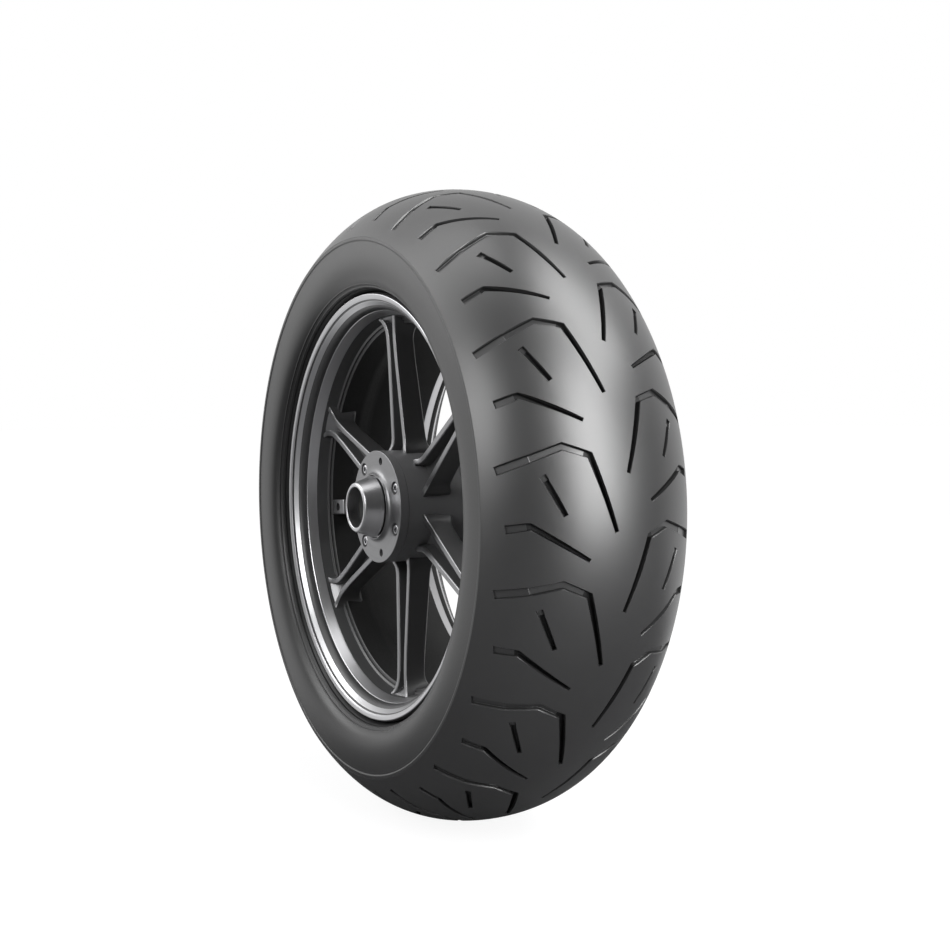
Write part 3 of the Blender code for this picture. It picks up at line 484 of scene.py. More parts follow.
def draw_section(shape, corners, closed):
    """Draw a section beside the axle as a wire, and round its corners."""
    spots = [shape.verts.new((radius, along, 0.0)) for along, radius, _ in corners]
    pairs = list(zip(spots, spots[1:]))
    if closed:
        pairs.append((spots[-1], spots[0]))
    for pair in pairs:
        shape.edges.new(pair)
    for rounding in sorted({corner[2] for corner in corners if corner[2]}):
        chosen = [spot for spot, corner in zip(spots, corners) if corner[2] == rounding]
        bevel(shape, chosen, rounding, ROUND_STEPS, "VERTICES")


def turned(corners, steps=RING_STEPS, closed=True):
    """Turn a section about the axle. An open one starts and ends on the axle."""
    shape = bmesh.new()
    draw_section(shape, corners, closed)
    spin(shape, shape.verts[:] + shape.edges[:], TAU, steps, merge=True)
    bmesh.ops.remove_doubles(shape, verts=shape.verts, dist=WELD)
    face_outwards(shape)
    return shape


def swept_block(inner, outer, low, high, angle, steps):
    """A block between two radii and two places along the axle, swept from +X to an angle."""
    shape = bmesh.new()
    corners = ((inner, low), (outer, low), (outer, high), (inner, high))
    shape.faces.new([shape.verts.new((radius, along, 0.0)) for radius, along in corners])
    spin(shape, whole(shape), angle, steps)
    return shape


def bore_into(shape, angle, circle, radius, start, end, sides=SMALL_STEPS):
    """Add the cutter of a hole along the axle's direction, on a circle about the axle."""
    stand = about_axle(angle) @ along_axle((circle, (start + end) / 2, 0.0))
    bmesh.ops.create_cone(shape, cap_ends=True, segments=sides, radius1=radius, radius2=radius,
                          depth=abs(end - start), matrix=stand)


def block_into(shape, angle, radii, places, half):
    """Add a box that stands out from the axle at an angle, between two radii and two places on the axle."""
    (inner, outer), (start, end) = radii, places
    middle = ((inner + outer) / 2, (start + end) / 2, 0.0)
    extent = (outer - inner, end - start, 2 * half, 1.0)
    stand = about_axle(angle) @ Matrix.Translation(middle) @ Matrix.Diagonal(extent)
    bmesh.ops.create_cube(shape, size=1.0, matrix=stand)


def new_object(name, shape):
    """Make a mesh object of a shape, with its faces outwards. The shape is used up."""
    face_outwards(shape)
    mesh = bpy.data.meshes.new(name)
    shape.to_mesh(mesh)
    shape.free()
    made = bpy.data.objects.new(name, mesh)
    bpy.context.scene.collection.objects.link(made)
    return made


def cut(shape, tool, operation="DIFFERENCE"):
    """Take one closed shape out of another, or join it on with UNION, and return what is made."""
    target = new_object("cut_target", shape)
    cutter = new_object("cut_tool", tool)
    step = target.modifiers.new("cut", "BOOLEAN")
    step.operation = operation
    step.solver = "EXACT"
    step.object = cutter
    left = bmesh.new()
    left.from_object(target, bpy.context.evaluated_depsgraph_get())
    for scratch in (target, cutter):
        mesh = scratch.data
        bpy.data.objects.remove(scratch)
        bpy.data.meshes.remove(mesh)
    if not left.faces:
        raise RuntimeError("a cut left nothing")
    return left


def soften(shape, width, segments=EDGE_STEPS):
    """Bevel every sharp edge."""
    sharp = [edge for edge in shape.edges if edge.is_manifold and edge.calc_face_angle() > SHARP_ANGLE]
    bevel(shape, sharp, width, segments)


def new_piece(name, shape, finishes, node):
    """Make a piece of a shape and shade it, in place of a CAD node."""
    piece = new_object(name, shape)
    mesh = piece.data
    for finish in finishes:
        mesh.materials.append(finish)
    mesh.shade_smooth()
    mesh.set_sharp_from_angle(angle=SHARP_ANGLE)
    weights = piece.modifiers.new("flat faces stay flat", "WEIGHTED_NORMAL")
    weights.keep_sharp = True
    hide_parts(node)
    return piece


def add_piece(name, shape, finishes, node, body="wheel"):
    """Make a piece that rides on a body."""
    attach(new_piece(name, shape, finishes, node), body)


# Finishes


def new_group(name, inputs, outputs):
    """An empty shader group with float inputs, given with their defaults, and float outputs."""
    tree = bpy.data.node_groups.new(name, "ShaderNodeTree")
    for label, default in inputs:
        socket = tree.interface.new_socket(label, in_out="INPUT", socket_type="NodeSocketFloat")
        socket.default_value = default
    for label in outputs:
        tree.interface.new_socket(label, in_out="OUTPUT", socket_type="NodeSocketFloat")
    return tree, tree.nodes.new("NodeGroupInput"), tree.nodes.new("NodeGroupOutput")


def object_place(tree):
    return tree.nodes.new("ShaderNodeTexCoord").outputs["Object"]


def math_node(tree, operation, first, second=None):
    """The result of a sum on sockets or plain numbers."""
    node = tree.nodes.new("ShaderNodeMath")
    node.operation = operation
    for socket, value in zip(node.inputs, (first, second)):
        if isinstance(value, bpy.types.NodeSocket):
            tree.links.new(value, socket)
        elif value is not None:
            socket.default_value = value
    return node.outputs["Value"]


def range_node(tree, value, start, end, low=0.0, high=1.0, curve="LINEAR"):
    """A value that goes from low to high as another goes from start to end."""
    node = tree.nodes.new("ShaderNodeMapRange")
    node.interpolation_type = curve
    for label, limit in (("From Min", start), ("From Max", end), ("To Min", low), ("To Max", high)):
        node.inputs[label].default_value = limit
    tree.links.new(value, node.inputs["Value"])
    return node.outputs["Result"]


def noise_node(tree, where, scale, detail):
    node = tree.nodes.new("ShaderNodeTexNoise")
    node.inputs["Detail"].default_value = detail
    tree.links.new(scale, node.inputs["Scale"])
    tree.links.new(where, node.inputs["Vector"])
    return node.outputs["Fac"]


def grain_group():
    """Fine grain over a slow mottle, both from 0 to 1."""
    found = bpy.data.node_groups.get("surface grain")
    if found:
        return found
    tree, entry, leave = new_group("surface grain", (("Grain Scale", 1200.0), ("Mottle Scale", 30.0)),
                                   ("Grain", "Mottle"))
    where = object_place(tree)
    for label in ("Grain", "Mottle"):
        noise = noise_node(tree, where, entry.outputs[f"{label} Scale"], detail=3.0)
        tree.links.new(noise, leave.inputs[label])
    return tree


def lathe_group():
    """Fine turning marks round the axle, with a slow change from band to band, both from 0 to 1."""
    found = bpy.data.node_groups.get("turning marks")
    if found:
        return found
    tree, entry, leave = new_group("turning marks", (("Line Scale", 1500.0), ("Band Scale", 60.0)),
                                   ("Grain", "Mottle"))
    axes = tree.nodes.new("ShaderNodeSeparateXYZ")
    tree.links.new(object_place(tree), axes.inputs["Vector"])
    squares = [math_node(tree, "POWER", axes.outputs[axis], 2.0) for axis in ("X", "Z")]
    radius = math_node(tree, "SQRT", math_node(tree, "ADD", *squares))
    across = tree.nodes.new("ShaderNodeCombineXYZ")
    tree.links.new(radius, across.inputs["X"])
    tree.links.new(axes.outputs["Y"], across.inputs["Y"])
    for label, output in (("Line Scale", "Grain"), ("Band Scale", "Mottle")):
        noise = noise_node(tree, across.outputs["Vector"], entry.outputs[label], detail=2.0)
        tree.links.new(noise, leave.inputs[output])
    return tree


def new_finish(name, group, colour, spread, roughness, scales, bump, metallic=0.0, specular=0.5):
    """A finish whose colour and roughness follow a group's mottle and grain, with a bump from its grain."""
    found = bpy.data.materials.get(name)
    if found:
        return found
    made = bpy.data.materials.new(name)
    made.use_nodes = True
    made.diffuse_color = (*colour, 1.0)
    tree = made.node_tree
    shader = tree.nodes["Principled BSDF"]
    shader.inputs["Metallic"].default_value = metallic
    shader.inputs["Specular IOR Level"].default_value = specular
    pattern = tree.nodes.new("ShaderNodeGroup")
    pattern.node_tree = group
    for socket, scale in zip(pattern.inputs, scales):
        socket.default_value = scale
    mix = tree.nodes.new("ShaderNodeMix")
    mix.data_type = "RGBA"
    for socket, change in ((mix.inputs[6], 1.0 - spread), (mix.inputs[7], 1.0 + spread)):
        socket.default_value = (*(level * change for level in colour), 1.0)
    tree.links.new(pattern.outputs["Mottle"], mix.inputs["Factor"])
    tree.links.new(mix.outputs[2], shader.inputs["Base Color"])
    grain = pattern.outputs["Grain"]
    tree.links.new(range_node(tree, grain, GRAIN_LOW, GRAIN_HIGH, *roughness), shader.inputs["Roughness"])
    relief = tree.nodes.new("ShaderNodeBump")
    relief.inputs["Strength"].default_value = bump
    relief.inputs["Distance"].default_value = GRAIN_HEIGHT
    tree.links.new(grain, relief.inputs["Height"])
    tree.links.new(relief.outputs["Normal"], shader.inputs["Normal"])
    return made


def tread_rubber():
    return new_finish("tread rubber", grain_group(), settings().tyre.tread_colour, spread=0.18,
                      roughness=(0.36, 0.44), scales=(2600.0, 24.0), bump=0.08, specular=1.0)


# A darker copy of the tread's rubber for groove walls and deep floors: painted shade in the grooves
def groove_rubber_painted_shade():
    return new_finish("groove rubber", grain_group(), settings().tyre.groove_painted_shade_colour, spread=0.20,
                      roughness=(0.55, 0.66), scales=(1800.0, 40.0), bump=0.10, specular=0.35)


def sidewall_rubber():
    return new_finish("sidewall rubber", grain_group(), settings().tyre.sidewall_colour, spread=0.16,
                      roughness=(0.36, 0.46), scales=(2200.0, 18.0), bump=0.10, specular=0.6)


def satin_paint():
    return new_finish("satin paint", grain_group(), settings().wheel.paint_colour, spread=0.12,
                      roughness=(0.30, 0.40), scales=(700.0, 22.0), bump=0.05)


# A lighter copy of the satin paint for the hub barrel and the plate's back: painted light
def hub_paint_with_painted_light():
    return new_finish("hub paint", grain_group(), settings().wheel.hub_colour_with_painted_light, spread=0.12,
                      roughness=(0.36, 0.46), scales=(700.0, 22.0), bump=0.05)


# Rough paint for the rim's inside: a real matt finish, with a colour darker than the satin paint that is
# painted shade in the well
def matt_paint_with_painted_shade():
    return new_finish("matt paint", grain_group(), (0.012, 0.012, 0.012), spread=0.15,
                      roughness=(0.66, 0.80), scales=(700.0, 22.0), bump=0.08, specular=0.2)


def plate_alloy():
    return new_finish("turned plate alloy", lathe_group(), settings().wheel.plate_colour, spread=0.08,
                      roughness=(0.30, 0.42), scales=(2600.0, 90.0), bump=0.06, metallic=1.0)


def turned_alloy():
    return new_finish("turned alloy", lathe_group(), settings().wheel.machined_colour, spread=0.06,
                      roughness=(0.28, 0.40), scales=(2600.0, 90.0), bump=0.06, metallic=1.0)


def ridge_alloy():
    return new_finish("brushed ridge alloy", grain_group(), settings().wheel.ridge_colour, spread=0.10,
                      roughness=(0.32, 0.44), scales=(1400.0, 40.0), bump=0.06, metallic=1.0)


def bearing_steel():
    return new_finish("ground bearing steel", lathe_group(), (0.60, 0.60, 0.61), spread=0.05,
                      roughness=(0.14, 0.22), scales=(4000.0, 200.0), bump=0.03, metallic=1.0)


def zinc_steel():
    return new_finish("zinc plated steel", grain_group(), (0.44, 0.44, 0.45), spread=0.08,
                      roughness=(0.24, 0.36), scales=(2500.0, 120.0), bump=0.05, metallic=1.0)


def weight_steel():
    return new_finish("dull weight steel", grain_group(), (0.30, 0.30, 0.31), spread=0.12,
                      roughness=(0.42, 0.56), scales=(1500.0, 80.0), bump=0.12, metallic=1.0)


def bead_wire():
    return new_finish("bronzed bead wire", lathe_group(), (0.45, 0.38, 0.26), spread=0.12,
                      roughness=(0.30, 0.42), scales=(1100.0, 300.0), bump=0.20, metallic=1.0)


def valve_brass():
    return new_finish("valve brass", lathe_group(), (0.62, 0.47, 0.20), spread=0.08,
                      roughness=(0.22, 0.34), scales=(3000.0, 150.0), bump=0.04, metallic=1.0)


def seal_rubber():
    return new_finish("seal rubber", grain_group(), (0.014, 0.014, 0.014), spread=0.2,
                      roughness=(0.50, 0.62), scales=(2500.0, 60.0), bump=0.08)


def cap_plastic():
    return new_finish("cap plastic", grain_group(), (0.013, 0.013, 0.013), spread=0.15,
                      roughness=(0.42, 0.52), scales=(2500.0, 90.0), bump=0.08)


def cord_rubber():
    return new_finish("cord rubber", grain_group(), (0.055, 0.050, 0.045), spread=0.25,
                      roughness=(0.70, 0.85), scales=(900.0, 60.0), bump=0.25)


# Tyre


def tread_edge(tyre):
    """(along, radius) where the tread ends and the sidewall starts."""
    return Vector((tyre.half_width, tyre.radius - TREAD_DROP))


class Crown:
    """The outline of the tread, measured along its surface from the tyre's middle."""

    def __init__(self, tyre):
        edge = tread_edge(tyre)
        slope = Vector((math.cos(SHOULDER_SLOPE), -math.sin(SHOULDER_SLOPE)))
        self.curve = ((0.0, tyre.radius), (CROWN_REACH, tyre.radius), edge - SHOULDER_REACH * slope, edge)
        spots = [bezier(self.curve, i / CROWN_SAMPLES) for i in range(CROWN_SAMPLES + 1)]
        self.alongs = [spot.x for spot in spots]
        self.lengths = [0.0]
        for here, after in zip(spots, spots[1:]):
            self.lengths.append(self.lengths[-1] + (after - here).length)
        self.length = self.lengths[-1]

    def share(self, values, wanted):
        """Share of the curve where a rising list of sampled values reaches a wanted one."""
        high = next((i for i, value in enumerate(values) if value >= wanted), CROWN_SAMPLES)
        low = max(high - 1, 0)
        step = values[high] - values[low]
        part = (wanted - values[low]) / step if step > 0.0 else 0.0
        return min(max((low + part) / CROWN_SAMPLES, 0.0), 1.0)

    def point(self, share, depth):
        """(along, radius) at a share of the curve, sunk by a depth."""
        step = 1e-4
        before = bezier(self.curve, max(share - step, 0.0))
        after = bezier(self.curve, min(share + step, 1.0))
        slope = (after - before).normalized()
        spot = bezier(self.curve, share)
        return spot.x + depth * slope.y, spot.y - depth * slope.x

    def length_at(self, along):
        """Length of the curve from the middle to a place along the axle."""
        share = self.share(self.alongs, along) * CROWN_SAMPLES
        low = min(int(share), CROWN_SAMPLES - 1)
        return self.lengths[low] + (self.lengths[low + 1] - self.lengths[low]) * (share - low)


def groove_ring(shape, spot, across, width, depth):
    """One ring of a groove's cutter, from its flared top on one side down to the floor and up again."""
    half = width / 2
    floor = half - GROOVE_DRAFT
    side = ((half + GROOVE_LIP + GROOVE_RISE, GROOVE_RISE), (half, -GROOVE_LIP),
            (floor, GROOVE_FLOOR_ROUND - depth), (floor - GROOVE_FLOOR_ROUND, -depth))
    profile = [(-out, lift) for out, lift in side] + list(side[::-1])
    corners = [shape.verts.new((spot + across * out).to_3d() + Vector((0, 0, lift))) for out, lift in profile]
    return [shape.edges.new((corner, corners[i - 1])) for i, corner in enumerate(corners)]


def groove_into(shape, stations, tyre, crown):
    """Add a groove's cutter to the flat pitch: rings at its stations, bridged and capped."""
    spots = []
    for along, angle, _, _ in stations:
        spots.append(Vector((math.radians(angle) * tyre.radius, crown.length_at(along))))
    rings = []
    for i, (spot, station) in enumerate(zip(spots, stations)):
        before = (spot - spots[i - 1]).normalized() if i else (spots[1] - spot).normalized()
        after = (spots[i + 1] - spot).normalized() if i + 1 < len(spots) else before
        ahead = (before + after).normalized()
        across = Vector((-ahead.y, ahead.x)) / max(ahead.dot(before), GROOVE_MITRE)
        rings.append(groove_ring(shape, spot, across, station[2], station[3]))
    for ring, following in zip(rings, rings[1:]):
        bmesh.ops.bridge_loops(shape, edges=ring + following)
    for ring in (rings[0], rings[-1]):
        bmesh.ops.contextual_create(shape, geom=ring)


def flat_half_pitch(tyre, crown):
    """One pitch of half the tread laid flat, around along X and across along Y, with its grooves cut."""
    pitch = TAU / tyre.pitches * tyre.radius
    start = PITCH_START * tyre.radius
    slab = bmesh.new()
    bmesh.ops.create_grid(slab, x_segments=PITCH_STEPS, y_segments=CROWN_STEPS, size=0.5)
    bmesh.ops.translate(slab, verts=slab.verts, vec=(0.5, 0.5, 0.0))
    bmesh.ops.scale(slab, verts=slab.verts, vec=(pitch, crown.length, 1.0))
    bmesh.ops.translate(slab, verts=slab.verts, vec=(start, 0.0, -TREAD_THICKNESS))
    top = bmesh.ops.extrude_face_region(slab, geom=slab.faces[:])
    bmesh.ops.translate(slab, verts=vertices_in(top["geom"]), vec=(0.0, 0.0, TREAD_THICKNESS))

    grooves = bmesh.new()
    for stations in (LONG_GROOVE, MIDDLE_GROOVE, SHORT_GROOVE):
        groove_into(grooves, stations, tyre, crown)
    slab = cut(slab, grooves)

    sides = ((0, start), (0, start + pitch), (1, 0.0), (1, crown.length), (2, -TREAD_THICKNESS))

    def on_side(face):
        for axis, level in sides:
            if all(abs(corner.co[axis] - level) < WELD for corner in face.verts):
                return True
        return False

    bmesh.ops.delete(slab, geom=[face for face in slab.faces if on_side(face)], context="FACES")
    for face in slab.faces:
        lowest = min(corner.co.z for corner in face.verts)
        wall = lowest < -GROOVE_LIP - WELD and abs(face.normal.z) < GROOVE_WALL
        # Walls and deep floors take the darker rubber of the grooves: painted shade
        face.material_index = int(wall or lowest < -SHALLOW_GROOVE)
    bmesh.ops.triangulate(slab, faces=[face for face in slab.faces if len(face.verts) > 4])
    return slab


def line_inside(shape, crown):
    """Close the tread underneath, from its open-side edge across to its drive-side edge."""
    edges = [edge for edge in shape.edges if edge.is_boundary and edge.verts[0].co.y < 0.0]
    under = [crown.point(share, TREAD_THICKNESS) for share in TREAD_LINING]
    path = [(-along, radius) for along, radius in under] + [crown.point(0.0, TREAD_THICKNESS)]
    path += under[::-1] + [crown.point(1.0, 0.0)]
    for along, radius in path:
        made = bmesh.ops.extrude_edge_only(shape, edges=edges)
        edges = [item for item in made["geom"] if isinstance(item, bmesh.types.BMEdge) and item.is_boundary]
        for corner in vertices_in(made["geom"]):
            angle = math.atan2(corner.co.z, corner.co.x)
            corner.co = (radius * math.cos(angle), along, radius * math.sin(angle))
    bmesh.ops.remove_doubles(shape, verts=shape.verts, dist=SEAM_WELD)


class WHEEL_OT_tread(Operator):
    """Build the tread with its grooves"""

    bl_idname = "wheel.tread"
    bl_label = "Tread"

    def execute(self, context):
        tyre = settings().tyre
        crown = Crown(tyre)
        shape = flat_half_pitch(tyre, crown)
        for corner in shape.verts:
            around, across, lift = corner.co
            along, radius = crown.point(crown.share(crown.lengths, across), -lift)
            angle = TREAD_PHASE + around / tyre.radius
            corner.co = (radius * math.cos(angle), -along, radius * math.sin(angle))
        count = tyre.pitches - 1
        spin(shape, whole(shape), TAU * count / tyre.pitches, count, copies=True)
        drive_half = vertices_in(bmesh.ops.duplicate(shape, geom=whole(shape))["geom"])
        bmesh.ops.scale(shape, verts=drive_half, vec=(1.0, -1.0, 1.0))
        lead = TAU / tyre.pitches * LEAD_STEPS / PITCH_STEPS
        bmesh.ops.rotate(shape, verts=drive_half, cent=(0, 0, 0), matrix=about_axle(lead).to_3x3())
        bmesh.ops.remove_doubles(shape, verts=shape.verts, dist=SEAM_WELD)
        line_inside(shape, crown)
        add_piece("tyre_tread", shape, (tread_rubber(), groove_rubber_painted_shade()), "tread_cap")
        return {"FINISHED"}


class WHEEL_OT_sidewalls(Operator):
    """Build both sidewalls with their moulded ribs"""

    bl_idname = "wheel.sidewalls"
    bl_label = "Sidewalls"

    def section(self, tyre):
        edge = tread_edge(tyre)
        foot = Vector(RIM_GUARD)
        bulge = foot + Vector((SIDE_BULGE, SIDE_FOOT_PULL))
        curve = (edge, edge - Vector((0.0, SIDE_SHOULDER_PULL)), bulge, foot)

        def skin(share, depth, rounding=0.0):
            step = 1e-3
            slope = bezier(curve, min(share + step, 1.0)) - bezier(curve, max(share - step, 0.0))
            inward = Vector((slope.y, -slope.x)).normalized()
            spot = bezier(curve, share) + inward * depth
            return (spot.x, spot.y, rounding)

        outside = []
        for (share, depth), (share_after, depth_after) in zip(SIDEWALL_RELIEF, SIDEWALL_RELIEF[1:]):
            count = max(round((share_after - share) / SIDEWALL_STEP), 1)
            for i in range(count):
                part = i / count
                here = share + (share_after - share) * part
                sunk = depth + (depth_after - depth) * part
                outside.append(skin(here, sunk, 0.0 if i else RIB_ROUNDING))
        outside.append(skin(*SIDEWALL_RELIEF[-1], RIB_ROUNDING))
        inside = [skin(share, SIDEWALL_THICKNESS) for share in SIDEWALL_LINING]
        return [*outside, *SIDEWALL_HEEL, *inside]

    def execute(self, context):
        section = self.section(settings().tyre)
        for name, corners in (("open_side", flipped(section)), ("drive_side", section)):
            add_piece(f"tyre_wall_{name}", turned(corners, BIG_RING_STEPS), [sidewall_rubber()],
                      f"sidewall_{name}")
        return {"FINISHED"}


# Cast wheel


def rim_radius(along):
    """Radius of the rim's hub side at a place along the axle, where the spokes stand."""
    line = [*flipped(RIM_BANDS[-2:]), *RIM_WELL]
    for (left, low, _), (right, high, _) in zip(line, line[1:]):
        if along <= right:
            return low + (high - low) * (along - left) / (right - left)
    return line[-1][1]


class WHEEL_OT_rim(Operator):
    """Build the rim with its lips, bands and well, and the lug that carries the valve"""

    bl_idname = "wheel.rim"
    bl_label = "Rim"

    def execute(self, context):
        hub_side = [*flipped(RIM_BANDS), *RIM_WELL, *RIM_BANDS[::-1]]
        tyre_side = [*RIM_FLANGE, *RIM_TYRE_WELL, *flipped(RIM_FLANGE[::-1])]
        shape = turned(hub_side + tyre_side, BIG_RING_STEPS)
        for face in shape.faces:
            along = face.calc_center_median().y
            if any(low < abs(along) < high for low, high in BRIGHT_BANDS):
                face.material_index = 1
            # The inside of the well gets the darker matt finish: painted shade
            elif along > WELL_START:
                face.material_index = 2
        finishes = (satin_paint(), turned_alloy(), matt_paint_with_painted_shade())
        add_piece("cast_rim", shape, finishes, "wheel_rim")
        self.make_lug()
        return {"FINISHED"}

    def make_lug(self):
        shape = bmesh.new()
        block_into(shape, VALVE_ANGLE, (LUG_INNER_RADIUS, LUG_OUTER_RADIUS), (LUG_FRONT, LUG_BACK),
                   LUG_HALF_WIDTH)
        soften(shape, LUG_ROUNDING, SOFT_EDGE_STEPS)
        holes = bmesh.new()
        bore_into(holes, VALVE_ANGLE, VALVE_AXIS_RADIUS, DATUM_HOLE_RADIUS, LUG_FRONT - CUTTER_OVERRUN,
                  LUG_FRONT + DATUM_HOLE_DEPTH)
        bore_into(holes, VALVE_ANGLE, VALVE_AXIS_RADIUS, VALVE_HOLE_RADIUS, LUG_BACK - VALVE_HOLE_DEPTH,
                  LUG_BACK + CUTTER_OVERRUN)
        shape = cut(shape, holes)
        face_outwards(shape)
        for face in shape.faces:
            front = face.calc_center_median().y < LUG_FRONT + LUG_SKIN
            face.material_index = int(front and face.normal.y < LUG_FACING)
        add_piece("valve_lug", shape, (satin_paint(), turned_alloy()), "wheel_rim")


class WHEEL_OT_spokes(Operator):
    """Build the six spokes, each a channel between two bright ridges"""

    bl_idname = "wheel.spokes"
    bl_label = "Spokes"

    def half_width(self, radius, wheel):
        if radius < SPOKE_WAIST_RADIUS:
            share = max(radius - HUB_RADIUS, 0.0) / (SPOKE_WAIST_RADIUS - HUB_RADIUS)
            return (wheel.hub_width + (wheel.waist_width - wheel.hub_width) * share) / 2
        share = max(radius - SPOKE_FLARE_RADIUS, 0.0) / (SPOKE_FOOT_RADIUS - SPOKE_FLARE_RADIUS)
        return (wheel.waist_width + (wheel.foot_width - wheel.waist_width) * share * share) / 2

    def ring(self, shape, share, wheel):
        """Corners and edges of one ring round the spoke, at a share of its length."""
        radius = SPOKE_ROOT_RADIUS + share * (SPOKE_FOOT_RADIUS + FOOT_SINK - SPOKE_ROOT_RADIUS)
        root = max(1.0 - max(radius - HUB_RADIUS, 0.0) / SPOKE_ROOT_REACH, 0.0) ** 2
        nearness = min(max(1.0 - (SPOKE_FOOT_RADIUS - radius) / SPOKE_FOOT_REACH, 0.0), 1.0)
        foot = 1.0 - math.sqrt(1.0 - nearness ** 2)
        half = self.half_width(radius, wheel)
        flank = half + SPOKE_FOOT_FILLET * foot + SPOKE_ROOT_FLARE * root
        ridge = flank - wheel.ridge_width
        front = wheel.spoke_front + SPOKE_LEAN * share
        back = front + wheel.spoke_depth - SPOKE_TAPER * share
        back += SPOKE_FOOT_FILLET * foot + SPOKE_ROOT_FILLET * root
        front -= SPOKE_ROOT_FILLET * root + SPOKE_FOOT_FRONT * foot
        inside = min((SPOKE_FOOT_RADIUS + FOOT_SINK - radius) / CHANNEL_RISE, 1.0)
        floor = front + wheel.channel_depth * max(inside, CHANNEL_SILL)
        side = ((flank, front), (ridge, front), (ridge - SPOKE_DRAFT, floor))
        under = flank - SPOKE_DRAFT
        outline = [*side, *((-across, along) for across, along in side[::-1]), (-under, back), (under, back)]
        corners = []
        for across, along in outline:
            end = rim_radius(along) + FOOT_SINK
            reach = SPOKE_ROOT_RADIUS + share * (end - SPOKE_ROOT_RADIUS)
            corners.append(shape.verts.new((reach, along, across)))
        edges = [shape.edges.new((corner, corners[i - 1])) for i, corner in enumerate(corners)]
        return corners, edges

    def spoke(self, wheel):
        shape = bmesh.new()
        rings = [self.ring(shape, share, wheel) for share in SPOKE_SHARES]
        for (_, edges), (_, following) in zip(rings, rings[1:]):
            bmesh.ops.bridge_loops(shape, edges=edges + following)
        for _, edges in (rings[0], rings[-1]):
            bmesh.ops.contextual_create(shape, geom=edges)
        kinds = {corner: i for corners, _ in rings for i, corner in enumerate(corners)}
        lines = {i: [] for _, wanted in SPOKE_EDGES for i in wanted}
        for edge in shape.edges:
            first, second = (kinds[corner] for corner in edge.verts)
            if first == second:
                lines[first].append(edge)
        for rounding, wanted in SPOKE_EDGES:
            bevel(shape, [edge for i in wanted for edge in lines[i]], rounding, SOFT_EDGE_STEPS)
        return shape

    def execute(self, context):
        wheel = settings().wheel
        for i in range(SPOKE_COUNT):
            shape = self.spoke(wheel)
            face_outwards(shape)
            for face in shape.faces:
                level = face.calc_center_median().y - wheel.spoke_front
                bright = face.normal.y < RIDGE_FACING and level < wheel.channel_depth * RIDGE_SHARE
                face.material_index = int(bright)
            place(shape, about_axle(SPOKE_PHASE + TAU * i / SPOKE_COUNT))
            add_piece(f"cast_spoke_{i + 1}", shape, (satin_paint(), ridge_alloy()), f"spoke_{i + 1}")
        return {"FINISHED"}


class WHEEL_OT_hub(Operator):
    """Build the hub barrel and the drum that holds the cush drive"""

    bl_idname = "wheel.hub"
    bl_label = "Hub"

    def execute(self, context):
        face, drum_end, drum = HUB_LOW.y, HUB_HIGH.y, HUB_HIGH.x
        inside = drum - DRUM_WALL
        section = [(face, BEARING_BORE, 0.0003), (face, HUB_RADIUS, 0.0002),
                   (DRUM_FLARE_START, HUB_RADIUS, 0.0060), (DRUM_FLARE_END, drum, 0.0050),
                   (drum_end, drum, 0.0015), (drum_end, inside, 0.0008),
                   (CUSH_FLOOR, inside, 0.0), (CUSH_FLOOR, HUB_TUBE_RADIUS, 0.0),
                   (HUB_TUBE_END, HUB_TUBE_RADIUS, 0.0008), (HUB_TUBE_END, BEARING_BORE, 0.0003),
                   (DRIVE_SEAT_START, BEARING_BORE, 0.0), (DRIVE_SEAT_START, BEARING_SHOULDER, 0.0),
                   (OPEN_SEAT_END, BEARING_SHOULDER, 0.0), (OPEN_SEAT_END, BEARING_BORE, 0.0)]
        vanes = bmesh.new()
        radii = (HUB_TUBE_RADIUS - VANE_SINK, inside + DRUM_WALL / 2)
        places = (CUSH_FLOOR - 2 * VANE_SINK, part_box("cush_damper_1")[1].y)
        for i in range(CUSH_COUNT):
            block_into(vanes, TAU * i / CUSH_COUNT, radii, places, VANE_HALF)
        shape = cut(turned(section), vanes, "UNION")
        add_piece("hub_casting", shape, [hub_paint_with_painted_light()], "wheel_hub")
        return {"FINISHED"}


# Hub fittings


